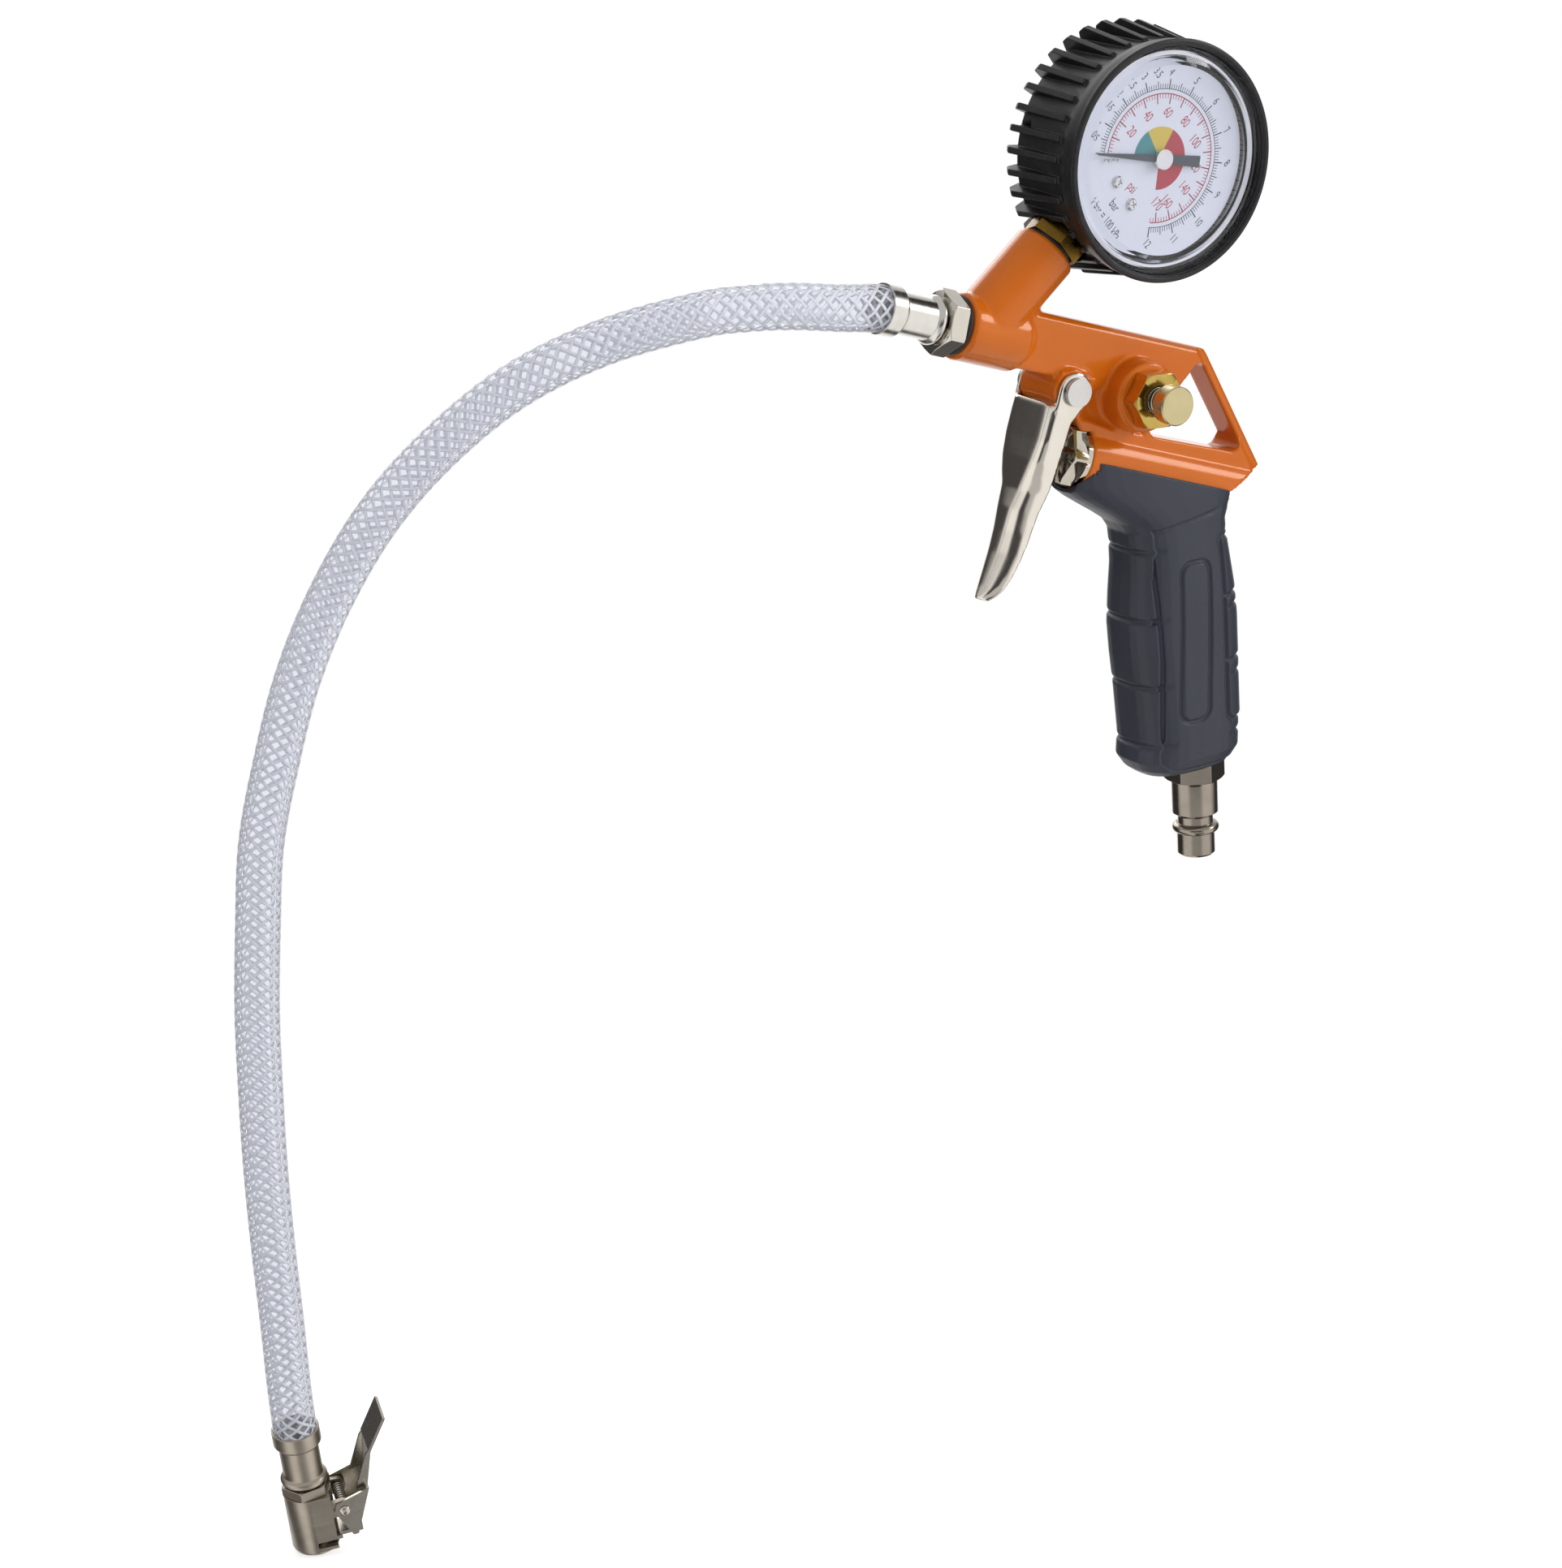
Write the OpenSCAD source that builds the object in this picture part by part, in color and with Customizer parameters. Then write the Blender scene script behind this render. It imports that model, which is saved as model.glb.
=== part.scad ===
// Tyre inflator: a trigger gun with a dial gauge, a bleed button, a short hose and a clip-on chuck.
// Millimetres. +Z is up along the grip and its inlet plug, -X is forward and -Y is the dial side.
// The origin is the middle of the inlet plug's sealing nose, where a coupling holds the gun.

/* [Layout] */
// Lean of the barrel, front end up, in degrees
barrel_lean = 20; // [17:0.5:23]
// Distance from the plug's axis forward to the muzzle
muzzle_ahead = 71; // [69:0.5:74]
// Height of the muzzle's centre above the origin
muzzle_height = 152.2; // [151:0.2:154]
// Distance from the muzzle back to the gauge stub's axis
stub_back = 7; // [6.5:0.5:9]
// Angle between the gauge stub and the barrel, in degrees
stub_angle = 57.5; // [54:0.5:60]
// Distance from the muzzle back to the trigger's pivot
pivot_back = 35.5; // [35:0.25:36.5]
// Distance of the trigger's pivot below the barrel's axis
pivot_drop = 9.5; // [9:0.25:10]
// Distance from the muzzle back to the bleed valve's axis
bleed_back = 56.5; // [55:0.5:58]
// Distance of the bleed valve's axis below the barrel's axis
bleed_drop = 6.8; // [6:0.2:7.6]
// Distance from the muzzle back to the valve tube's front face
tube_front = 47; // [46.5:0.25:48.5]
// Distance of the valve tube's axis below the barrel's axis
tube_drop = 26; // [25.5:0.25:27]

/* [Casting] */
// Outer diameter of the barrel
barrel_d = 17.4; // [16.8:0.2:18.4]
// Outer diameter of the gauge stub
stub_d = 16.9; // [16.6:0.1:18]
// Length of the gauge stub from the barrel's axis
stub_len = 28.2; // [27:0.2:30]
// Thickness of the flat body plate
plate_t = 11.6; // [11:0.2:12.6]
// Height of the plate's top above the barrel's axis
plate_up = 8.3; // [8:0.1:8.6]
// Outer diameter of the valve tube
tube_d = 17; // [16.8:0.1:17.4]
// Length of the valve tube
tube_len = 57; // [56:0.5:58]
// Diameter of the air bore in the barrel
air_bore_d = 6; // [5:0.2:6.4]
// Diameter of the drilled air ways
drill_d = 4; // [3:0.2:4.4]
// Diameter of the boss around the bleed valve
bleed_boss_d = 18.6; // [18:0.2:19.4]
// Height of the bleed boss above the middle plane
bleed_boss_h = 12; // [11.5:0.25:12.5]
// Width of the lug between the trigger's ears
lug_w = 15.4; // [14.6:0.2:15.4]
// Radius on the plate's edges
plate_edge_r = 2.4; // [1.5:0.1:3]

/* [Threads and plug] */
// Outside diameter of the quarter-inch pipe threads
pipe_thread_d = 13; // [12.8:0.05:13.2]
// Length of the pipe threads
pipe_thread_len = 9.6; // [9:0.2:10]
// Diameter of the plug's sealing nose
nose_d = 10; // [9.6:0.1:10.2]
// Length of the plug's sealing nose
nose_len = 5.6; // [5.2:0.2:6]
// Diameter of the plug's locking collar
collar_d = 12.4; // [12.1:0.1:12.8]
// Diameter of the plug's shoulder
shoulder_d = 12.2; // [11.9:0.1:12.4]
// Length of the plug's shoulder
shoulder_len = 8.2; // [7.6:0.2:8.8]
// Width across flats of the plug's hexagon
plug_hex = 14; // [13.5:0.25:14.5]
// Bore of the inlet plug
plug_bore_d = 6; // [5:0.25:6.5]

/* [Grip] */
// Height of the grip's lower end above the origin
grip_base = 22.2; // [22:0.1:23]
// Half of the grip's width
grip_half_w = 12.5; // [12:0.1:13.2]
// Distance from the plug's axis forward to the grip's front
grip_front = 22; // [21:0.2:23]
// Distance from the plug's axis back to the grip's rear
grip_rear = 11.2; // [11:0.1:12]
// Depth of the finger grooves
groove_depth = 0.9; // [0.5:0.1:1.2]
// Diameter of the casting's core inside the grip
core_d = 16; // [15.4:0.2:16.8]

/* [Trigger] */
// Width over the trigger's ears
trigger_w = 18.8; // [18.8:0.1:19.4]
// Thickness of the trigger's sheet
trigger_sheet = 1.4; // [1:0.1:1.4]
// Radius of the trigger's ears
ear_r = 5.1; // [4.8:0.1:5.4]
// Diameter of the trigger's pin
pin_d = 5; // [4:0.2:5.4]
// Diameter of the pin's head
pin_head_d = 7.5; // [7:0.1:8]
// Full swing of the trigger, in degrees
trigger_swing = 10; // [6:0.5:10]

/* [Valve] */
// Width across flats of the valve nut
valve_hex = 15; // [14:0.25:15]
// Diameter of the valve nut's collar
valve_collar_d = 16.2; // [15.8:0.1:16.6]
// Diameter of the valve nut's thread
valve_thread_d = 12.8; // [12.2:0.1:13]
// Diameter of the valve chamber
chamber_d = 10.8; // [10.2:0.1:11]
// Diameter of the valve stem
stem_d = 4; // [3.6:0.1:4.2]
// Wire diameter of the valve spring
valve_wire = 0.8; // [0.7:0.05:0.9]

/* [Bleed valve] */
// Width across flats of the bleed nut
bleed_hex = 14; // [13.5:0.25:14.5]
// Diameter of the bleed nut's thread
bleed_thread_d = 9.8; // [9.6:0.1:10.2]
// Diameter of the bleed button's head
button_d = 10.2; // [9.8:0.1:10.6]
// Diameter of the bleed button's shank
button_shank_d = 5; // [4.6:0.1:5.2]
// Travel of the bleed button
bleed_travel = 2.5; // [1.5:0.1:2.5]
// Wire diameter of the bleed spring
bleed_wire = 0.7; // [0.6:0.05:0.75]

/* [Hose] */
// Outer diameter of the hose
hose_d = 12.2; // [11.8:0.1:12.4]
// Bore of the hose, across its corners
hose_bore_d = 8.1; // [8:0.05:8.3]
// Width across flats of the hose fitting
fitting_hex = 15; // [14.5:0.25:15.5]
// Diameter of the barbed tails
tail_d = 7.6; // [7.2:0.1:7.7]
// Bore of the barbed tails
tail_bore_d = 4.6; // [4:0.1:5]
// Diameter over the crimped part of the ferrules
crimp_d = 10.9; // [10.8:0.05:11.2]
// Diameter over the ferrules' skirts
skirt_d = 13.2; // [13.1:0.1:13.6]
// Diameter over the ferrules' beads
bead_d = 12.9; // [12.6:0.1:13.4]
// Wall of the ferrules
ferrule_wall = 0.5; // [0.4:0.05:0.5]
// Length of the ferrules
ferrule_len = 17.5; // [17:0.25:18]

/* [Gauge] */
// Outer diameter of the gauge's case
case_d = 55; // [54:0.5:56]
// Depth of the case behind its rim
case_depth = 22; // [21:0.5:23]
// Distance from the stem's axis forward to the case's rim
case_rim = 13.5; // [13:0.25:14]
// Wall of the case
case_wall = 1; // [0.8:0.1:1.2]
// Wall of the lens around the case's rim
lens_lip = 1.4; // [1.2:0.1:1.6]
// Wall of the rubber boot behind its flange
boot_wall = 2; // [1.8:0.1:2.2]
// Wall of the boot's flange around the lens
flange_wall = 2.3; // [2.1:0.1:2.6]
// Height of the boot's ribs at the back
rib_height = 3.4; // [3:0.1:3.8]
// Number of ribs around the boot
boot_ribs = 36; // [30:1:40]
// Gap between the dial's edge and the case's wall
dial_room = 0.7; // [0.6:0.1:1.2]
// Length of the pointer from its axis to its tip
pointer_len = 20.6; // [19:0.2:21]
// Sweep of the pointer from zero to full scale, in degrees
pointer_sweep = 270; // [240:5:270]
// Turn of the dial and pointer away from the stem's line, in degrees
dial_turn = -5; // [-8:1:0]
// Width across flats of the gauge's stem
stem_hex = 14; // [13.5:0.25:14.5]
// Length of the stem's hexagon between stub and case
stem_hex_len = 7.1; // [6.9:0.1:7.6]
// Number of teeth on the pinion
pinion_teeth = 10; // [9:1:11]
// Ratio between the sector gear and the pinion
gear_ratio = 10; // [10:0.5:10.5]
// Module of the movement's teeth
tooth_module = 0.2; // [0.19:0.005:0.21]

/* [Chuck] */
// Diameter of the chuck's body
chuck_d = 13.2; // [13:0.1:13.6]
// Length of the chuck's body
chuck_len = 18.6; // [18:0.25:19]
// Bore of the chuck's mouth
mouth_d = 8; // [7.8:0.1:8.2]
// Width across flats of the chuck's hexagon
chuck_hex = 12; // [11.6:0.2:12.4]
// Width over the clip lever's cheeks
clip_w = 14.6; // [14.6:0.1:15.2]
// Thickness of the clip lever's sheet
clip_sheet = 0.8; // [0.6:0.05:0.8]
// Diameter of the clip lever's rivet
rivet_d = 1.8; // [1.6:0.1:2]
// Full swing of the clip lever, in degrees
clip_swing = 20; // [12:1:20]
// Wire diameter of the clip spring
clip_wire = 0.55; // [0.45:0.05:0.6]

/* [Hidden] */

$fn = 64;
eps = 0.01;           // overlap that joins two shapes of one piece
far = 200;            // reach of cutting blocks
run_fit = 0.05;       // radial clearance of a running pin
seat_gap = 0.1;       // gap between pieces that seat on each other
move_gap = 0.3;       // gap between pieces that move past each other
thread_gap = 0.12;    // radial gap between mating threads
facet_sides = 12;     // sides of the hose
wire_sides = 6;       // sides of a spring's wire
curl_rings = 8;       // rings in each curl of a spring

// ---------------------------------------------------------------- frames
module at_barrel() {
  translate([-muzzle_ahead, 0, muzzle_height]) rotate([0, barrel_lean, 0]) children();
}
// Z runs forward out of the muzzle
module at_muzzle() { at_barrel() rotate([0, -90, 0]) children(); }
// Z runs up the gauge stub
module at_stub() { at_barrel() translate([stub_back, 0, 0]) rotate([0, 90 - stub_angle, 0]) children(); }
// Z runs from the stem through the gauge's centre, -Y faces the reader
module at_gauge() { at_stub() translate([0, 0, gauge_reach]) children(); }
// Z faces the reader, Y runs up the dial
module at_dial() { at_gauge() rotate([90, 0, 0]) children(); }
// Z runs rearward from the valve tube's front face
module at_valve() { at_barrel() translate([tube_front, 0, -tube_drop]) rotate([0, 90, 0]) children(); }
// Z runs out of the bleed boss towards -Y
module at_bleed() { at_barrel() translate([bleed_back, 0, -bleed_drop]) rotate([90, 0, 0]) children(); }
// Z runs along the trigger's pin towards -Y
module at_pivot() { at_barrel() translate([pivot_back, 0, -pivot_drop]) rotate([90, 0, 0]) children(); }
// Z runs up the chuck into the hose, X towards the clip lever
module at_chuck() {
  translate(chuck_rim) rotate([0, 0, chuck_azimuth]) rotate([0, chuck_tilt, 0])
    rotate([0, 0, clip_azimuth - chuck_azimuth]) children();
}
module at_rivet() { at_chuck() translate([rivet_x, 0, rivet_z]) rotate([90, 0, 0]) children(); }

// A slab in the X-Z plane of the barrel's frame, centred on Y
module slab(t) { rotate([90, 0, 0]) linear_extrude(t, center = true) children(); }

// ---------------------------------------------------------------- shared shapes
module hex_prism(flats, h) { cylinder(r = flats / sqrt(3), h = h, $fn = 6); }

// A hexagon whose corners are turned down at one or both ends
module hex_nut(flats, h, low = 0, high = 0) {
  corner_r = flats / sqrt(3);
  intersection() {
    hex_prism(flats, h);
    rotate_extrude() polygon([
      [0, 0], [corner_r - low, 0], [corner_r, low * nut_chamfer],
      [corner_r, h - high * nut_chamfer], [corner_r - high, h], [0, h]
    ]);
  }
}

module o_ring(ring_r, wire_r, z) {
  translate([0, 0, z]) rotate_extrude() translate([ring_r, 0]) circle(r = wire_r);
}

module tube_ring(outer_d, inner_d, h) {
  difference() {
    cylinder(d = outer_d, h = h);
    translate([0, 0, -eps]) cylinder(d = inner_d, h = h + 2 * eps);
  }
}

// ---------------------------------------------------------------- swept tubes
function unit(v) = v / norm(v);
function cut_at(path, i) =
  unit(path[min(i + 1, len(path) - 1)] - path[max(i - 1, 0)]);
function ring_points(p, along, side, r, sides) =
  let (b = unit(cross(along, side)), n = cross(b, along))
  [for (k = [0 : sides - 1]) p + r * (cos(360 * k / sides) * n + sin(360 * k / sides) * b)];
function wall_faces(rings, sides, first, flip) =
  [for (i = [0 : rings - 2], k = [0 : sides - 1], half = [0, 1])
    let (a = first + i * sides + k, b = first + i * sides + (k + 1) % sides, c = b + sides, d = a + sides,
         f = half == 0 ? [a, b, c] : [a, c, d])
    flip ? [f[2], f[1], f[0]] : f];
// Least clear distance of a round wire to itself, measured between points that aren't neighbours
function least_gap(path, d, apart) =
  min([for (i = [0 : len(path) - 1], j = [i + apart : 1 : len(path) - 1]) norm(path[i] - path[j])]) - d;

// A solid wire of one unbroken tube along a path
module wire(path, sides_ref, d) {
  rings = len(path);
  points = [for (i = [0 : rings - 1])
    each ring_points(path[i], cut_at(path, i), sides_ref[i], d / 2, wire_sides)];
  caps = [for (k = [1 : wire_sides - 2]) [0, k + 1, k]];
  last = (rings - 1) * wire_sides;
  ends = [for (k = [1 : wire_sides - 2]) [last, last + k, last + k + 1]];
  polyhedron(points, concat(caps, wall_faces(rings, wire_sides, 0, false), ends));
}

// A coil about Z from z = 0, with straight ends one wire long
module coil(r, d, turns, h, start = 0) {
  steps = round(turns * curl_rings);
  curls = [for (i = [0 : steps])
    let (a = start + 360 * turns * i / steps) [r * cos(a), r * sin(a), d / 2 + (h - d) * i / steps]];
  first_way = [sin(start), -cos(start), 0];
  end_a = start + 360 * turns;
  last_way = [-sin(end_a), cos(end_a), 0];
  path = concat([curls[0] + d * first_way], curls, [curls[steps] + d * last_way]);
  refs = concat([[cos(start), sin(start), 0]],
    [for (i = [0 : steps]) let (a = start + 360 * turns * i / steps) [cos(a), sin(a), 0]],
    [[cos(end_a), sin(end_a), 0]]);
  echo("coil clears itself by", least_gap(path, d, round(curl_rings * 0.6)));
  wire(path, refs, d);
}

// ---------------------------------------------------------------- derived sizes
nut_chamfer = 0.6;                       // rise of a nut's turned corner per mm of radius
gauge_reach = stub_len + stem_hex_len + case_d / 2;
lens_d = case_d + 2 * lens_lip;
dial_d = case_d - 2 * case_wall - 2 * dial_room;
plate_down = 7;                          // plate's lower edge below the barrel's axis
step_back = 18;                          // where the round barrel meets the flat plate
hole_corner_r = 2.4;                     // corners of the hanging hole
tail_end = tube_front + tube_len;        // rear end of the valve tube
muzzle_chamfer = 0.7;
stub_root = 3;                           // where the stub starts, from the barrel's axis
tube_r = tube_d / 2;
tube_fit_d = tube_d + 0.2;
core_gap = 0.15;                         // sleeve to core
core_front = -8;                         // front centre of the oval core
strut_t = 9;                             // thickness of the strut behind the hanging hole
strut_top = [79.4, plate_up - 1.5];
strut_foot = [tail_end - 1.4, -tube_drop + tube_r + 1.9];
strut_w = 3.3;                           // width of the strut across its run
strut_slope = atan2(strut_top[1] - strut_foot[1], strut_foot[0] - strut_top[0]);
hanger = [[76.2, 2.1], [92.6, -13.7], [67.1, -14.2]];
frame_outline = [
  [step_back - 1, -plate_down], [step_back - 1, plate_up], [76.8, plate_up], strut_top, strut_foot,
  [tail_end + 0.4, -tube_drop + tube_r + 1.1], [tail_end + 0.9, -tube_drop + tube_r - 0.4],
  [tail_end - 8, -tube_drop + 2], [tube_front + 1, -tube_drop + 2],
    [tube_front - 4, -tube_drop + tube_r - 2],
  [pivot_back + 3, -pivot_drop - 4.6], [pivot_back + 3, -plate_down]
];
pocket_outline = [
  [pivot_back + 9, -plate_down - 0.6], [bleed_back - 6, -plate_down - 0.6], [bleed_back - 2, -13],
  [bleed_back + 9.4, -16.4], [bleed_back + 7, -tube_drop + tube_r + 1],
  [tube_front + 3, -tube_drop + tube_r + 1], [pivot_back + 6, -pivot_drop - 6]
];
web_t = 8;                               // thickness of the web between plate and valve tube

module rounded_bar(w, top, r, len) {
  // section in Y-Z with two rounded upper edges, run along X
  rotate([90, 0, 90]) linear_extrude(len) union() {
    translate([-w / 2, -far]) square([w, far + top - r]);
    translate([-w / 2 + r, top - r - eps]) square([w - 2 * r, r + eps]);
    for (s = [-1, 1]) translate([s * (w / 2 - r), top - r]) circle(r = r);
  }
}

module casting_frame() {
  intersection() {
    difference() {
      slab(plate_t) polygon(frame_outline);
      slab(far) hull() for (p = hanger) translate(p) circle(r = hole_corner_r, $fn = 32);
      for (s = [-1, 1]) translate([0, s * (web_t / 2 + plate_t / 2), 0])
        slab(plate_t) polygon(pocket_outline);
    }
    rounded_bar(plate_t, plate_up, plate_edge_r, far);
    // the strut is thinner than the plate and rounded too
    union() {
      translate([strut_top[0], 0, strut_top[1]]) rotate([0, strut_slope, 0])
        translate([-far / 2, 0, 0]) rounded_bar(strut_t, 0, plate_edge_r, far);
      translate([strut_top[0], 0, strut_top[1]]) rotate([0, strut_slope, 0])
        translate([-far / 2, 0, -strut_w]) rounded_bar(plate_t, 0, 1, far);
    }
  }
}

module casting_outside() {
  casting_frame();
  // barrel with its turned-in mouth
  rotate([0, 90, 0]) rotate_extrude() polygon([
    [0, 0], [barrel_d / 2 - muzzle_chamfer, 0], [barrel_d / 2, muzzle_chamfer],
    [barrel_d / 2, step_back], [barrel_d / 2 - 3, step_back + 4], [0, step_back + 4]
  ]);
  // gauge stub
  translate([stub_back, 0, 0]) rotate([0, 90 - stub_angle, 0]) rotate_extrude() polygon([
    [0, stub_root], [stub_d / 2, stub_root], [stub_d / 2, stub_len - muzzle_chamfer],
    [stub_d / 2 - muzzle_chamfer, stub_len], [0, stub_len]
  ]);
  // trigger lug
  slab(lug_w) union() {
    polygon([
      [pivot_back - 4.7, -plate_down + 2], [pivot_back - 4.7, -pivot_drop - 3],
      [pivot_back - 2, -pivot_drop - 4.6], [pivot_back + 3, -pivot_drop - 5.2],
      [pivot_back + 7, -plate_down + 1], [pivot_back + 7, -plate_down + 2]
    ]);
    translate([pivot_back, -pivot_drop]) circle(r = ear_r + 0.5);
  }
  // valve tube with its slanted rear end
  difference() {
    translate([tube_front, 0, -tube_drop]) rotate([0, 90, 0]) cylinder(d = tube_d, h = tube_len + 1);
    translate([tail_end + 0.2, 0, -tube_drop + tube_r]) rotate([0, 50, 0])
      translate([0, -far / 2, -far]) cube([far, far, 2 * far]);
  }
  // bleed boss
  translate([bleed_back, 0, -bleed_drop]) rotate([90, 0, 0]) rotate_extrude() polygon([
    [0, 0], [bleed_boss_d / 2, 0], [bleed_boss_d / 2, bleed_boss_h - 0.8],
    [bleed_boss_d / 2 - 0.8, bleed_boss_h], [0, bleed_boss_h]
  ]);
}

thread_bore_d = pipe_thread_d + 2 * thread_gap;
core_base = grip_base + 2.6;
inlet_u = (muzzle_ahead + tube_drop * -sin(barrel_lean)) / cos(barrel_lean);
way_at = bleed_back - tube_front;        // outlet way, behind the valve tube's front face
chamber_len = 41.5;
cap_len = 16;                            // valve nut's reach into the tube

module body_casting() {
  color("#c8560e") difference() {
    union() {
      at_barrel() casting_outside();
      // oval core inside the grip, up to the valve tube
      intersection() {
        union() {
          for (x = [core_front, 0]) translate([x, 0, core_base]) cylinder(d = core_d, h = far);
          translate([core_front, -core_d / 2, core_base]) cube([-core_front, core_d, far]);
        }
        at_barrel() translate([0, -far / 2, -tube_drop - far]) cube([far, far, far]);
      }
    }
    at_barrel() {
      rotate([0, 90, 0]) translate([0, 0, -eps]) cylinder(d = air_bore_d, h = bleed_back + eps);
      rotate([0, 90, 0]) translate([0, 0, -eps]) cylinder(d = thread_bore_d, h = pipe_thread_len + 0.5);
      translate([bleed_back, 0, -tube_drop]) cylinder(d = drill_d, h = tube_drop);
    }
    at_stub() {
      cylinder(d = air_bore_d, h = stub_len);
      translate([0, 0, stub_len - pipe_thread_len - 0.5]) cylinder(d = thread_bore_d, h = far);
    }
    at_pivot() translate([0, 0, -far / 2]) cylinder(r = pin_d / 2 + run_fit, h = far);
    at_valve() {
      translate([0, 0, -far]) cylinder(d = valve_thread_d + 2 * thread_gap, h = far + 7);
      // spot face that clears the valve nut's corners
      translate([0, 0, -far]) cylinder(d = valve_hex / cos(30) + 2 * seat_gap, h = far);
      cylinder(d = chamber_d, h = chamber_len);
    }
    at_bleed() {
      translate([0, 0, bleed_bottom]) cylinder(d = bleed_thread_d + 2 * thread_gap, h = far);
      translate([0, 0, -3.5]) cylinder(d = 8, h = 4 + bleed_bottom);
    }
    translate([0, 0, core_base - eps]) cylinder(d = thread_bore_d, h = pipe_thread_len + 2);
    translate([0, 0, core_base]) cylinder(d = air_bore_d, h = inlet_z - core_base);
  }
}
bleed_bottom = 3;                        // inner end of the bleed nut, from the middle plane
inlet_z = muzzle_height - inlet_u * sin(barrel_lean) - tube_drop * cos(barrel_lean);

// ---------------------------------------------------------------- grip
// Each section: height, front and rear from the plug's axis, half width
grip_sections = [
  [grip_base, -grip_front + 5, grip_rear - 5, grip_half_w - 4.5],
  [grip_base + 1.8, -grip_front + 2.5, grip_rear - 2, grip_half_w - 2],
  [grip_base + 4.8, -grip_front + 0.6, grip_rear - 0.2, grip_half_w - 0.3],
  [33, -grip_front + 1.4, grip_rear, grip_half_w],
  [45, -grip_front + 0.5, grip_rear, grip_half_w],
  [55, -grip_front - 0.5, grip_rear, grip_half_w + 0.1],
  [63, -grip_front - 1, grip_rear, grip_half_w + 0.1],
  [71, -grip_front - 0.4, grip_rear - 0.6, grip_half_w - 0.1],
  [79, -grip_front + 0.4, grip_rear - 1.8, grip_half_w - 0.5],
  [85, -grip_front + 0.2, grip_rear - 2.6, grip_half_w - 0.9],
  [89, -grip_front - 0.3, grip_rear - 2.6, grip_half_w - 1.2],
  [92, -grip_front - 2.4, grip_rear - 1.2, grip_half_w - 1.3],
  [95, -grip_front - 6.6, grip_rear + 0.8, grip_half_w - 1.5],
  [98, -grip_front - 11.2, grip_rear + 2, grip_half_w - 1.7],
  [101, -grip_front - 15.6, grip_rear + 2.6, grip_half_w - 2],
  [104, -grip_front - 19.2, grip_rear + 2.8, grip_half_w - 2.2],
  [113, -grip_front - 20, grip_rear + 2.8, grip_half_w - 2.2]
];
grooves = [31.4, 47.6, 65.8, 84.2];      // heights of the finger grooves
groove_half = 0.9;                       // half of a groove's width
grip_sides = 32;
// Height, front, rear and half width between two sections
function grip_at(z) =
  let (i = max([for (k = [0 : len(grip_sections) - 2]) grip_sections[k][0] <= z ? k : 0]),
       a = grip_sections[i], b = grip_sections[i + 1], t = (z - a[0]) / (b[0] - a[0]))
  [for (c = [0 : 3]) c == 0 ? z : a[c] + (b[c] - a[c]) * t];
groove_levels = [for (g = grooves, s = [-groove_half, 0, groove_half]) [g + s, s == 0 ? groove_depth : 0]];
// All rings of the sleeve, from the bottom up: height and inset
grip_levels = concat(
  [for (s = grip_sections) if (min([for (g = grooves) abs(g - s[0])]) > groove_half + 0.4) [s[0], 0]],
  groove_levels);
function sorted(v) = len(v) < 2 ? v :
  let (pivot = v[0][0], rest = [for (i = [1 : len(v) - 1]) v[i]])
  concat(sorted([for (e = rest) if (e[0] < pivot) e]), [v[0]],
    sorted([for (e = rest) if (e[0] >= pivot) e]));
// Rounded-oblong ring; the grooves cut its front and its rear but leave the flat sides whole
function grip_ring(level) =
  let (s = grip_at(level[0]), mid = (s[1] + s[2]) / 2, half = (s[2] - s[1]) / 2, n = grip_square)
  [for (k = [0 : grip_sides - 1])
    let (a = 360 * k / grip_sides, c = cos(a), q = sin(a),
         cut = abs(c) > grip_side_c ? level[1] : 0,
         x = sign(c) * pow(abs(c), 2 / n) * (half - cut),
           y = sign(q) * pow(abs(q), 2 / n) * (s[3] - cut / 3))
    [mid + x, y, s[0]]];
grip_square = 2.9;                       // 2 is an ellipse, larger is squarer
grip_side_c = 0.55;                      // share of the half depth that the side faces take

module grip_outside() {
  levels = sorted(grip_levels);
  rings = len(levels);
  points = [for (l = levels) each grip_ring(l)];
  last = (rings - 1) * grip_sides;
  faces = concat(
    [for (k = [1 : grip_sides - 2]) [0, k + 1, k]],
    wall_faces(rings, grip_sides, 0, false),
    [for (k = [1 : grip_sides - 2]) [last, last + k, last + k + 1]]);
  rotate([0, 0, 0]) polyhedron(points, [for (f = faces) [f[2], f[1], f[0]]]);
}

module grip_sleeve() {
  color("#2b2c31") difference() {
    grip_outside();
    // room for the casting's core, valve tube and the plug's hexagon
    for (x = [core_front, 0]) translate([x, 0, core_base - 0.1])
      cylinder(d = core_d + 2 * core_gap, h = far);
    translate([core_front, -core_d / 2 - core_gap, core_base - 0.1])
      cube([-core_front, core_d + 2 * core_gap, far]);
    cylinder(d = plug_hex / cos(30) + 0.6, h = core_base);
    at_barrel() {
      translate([-far / 2, -far / 2, -tube_drop + 0.2]) cube([2 * far, far, far]);
      translate([-far, -far / 2, -far]) cube([far + tube_front - 1.2, far, 2 * far]);
      translate([-far / 4, 0, -tube_drop]) rotate([0, 90, 0]) cylinder(d = tube_fit_d, h = far);
      translate([tube_front - far, 0, -tube_drop]) rotate([0, 90, 0])
        cylinder(d = valve_collar_d + 1, h = far);
    }
  }
}

// ---------------------------------------------------------------- inlet
nose_end = -nose_len / 2;
collar_z = nose_len / 2 + 1.3;
shoulder_z = collar_z + 4.2;
hex_z = shoulder_z + shoulder_len + 1;
washer_t = 1.5;

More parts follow.
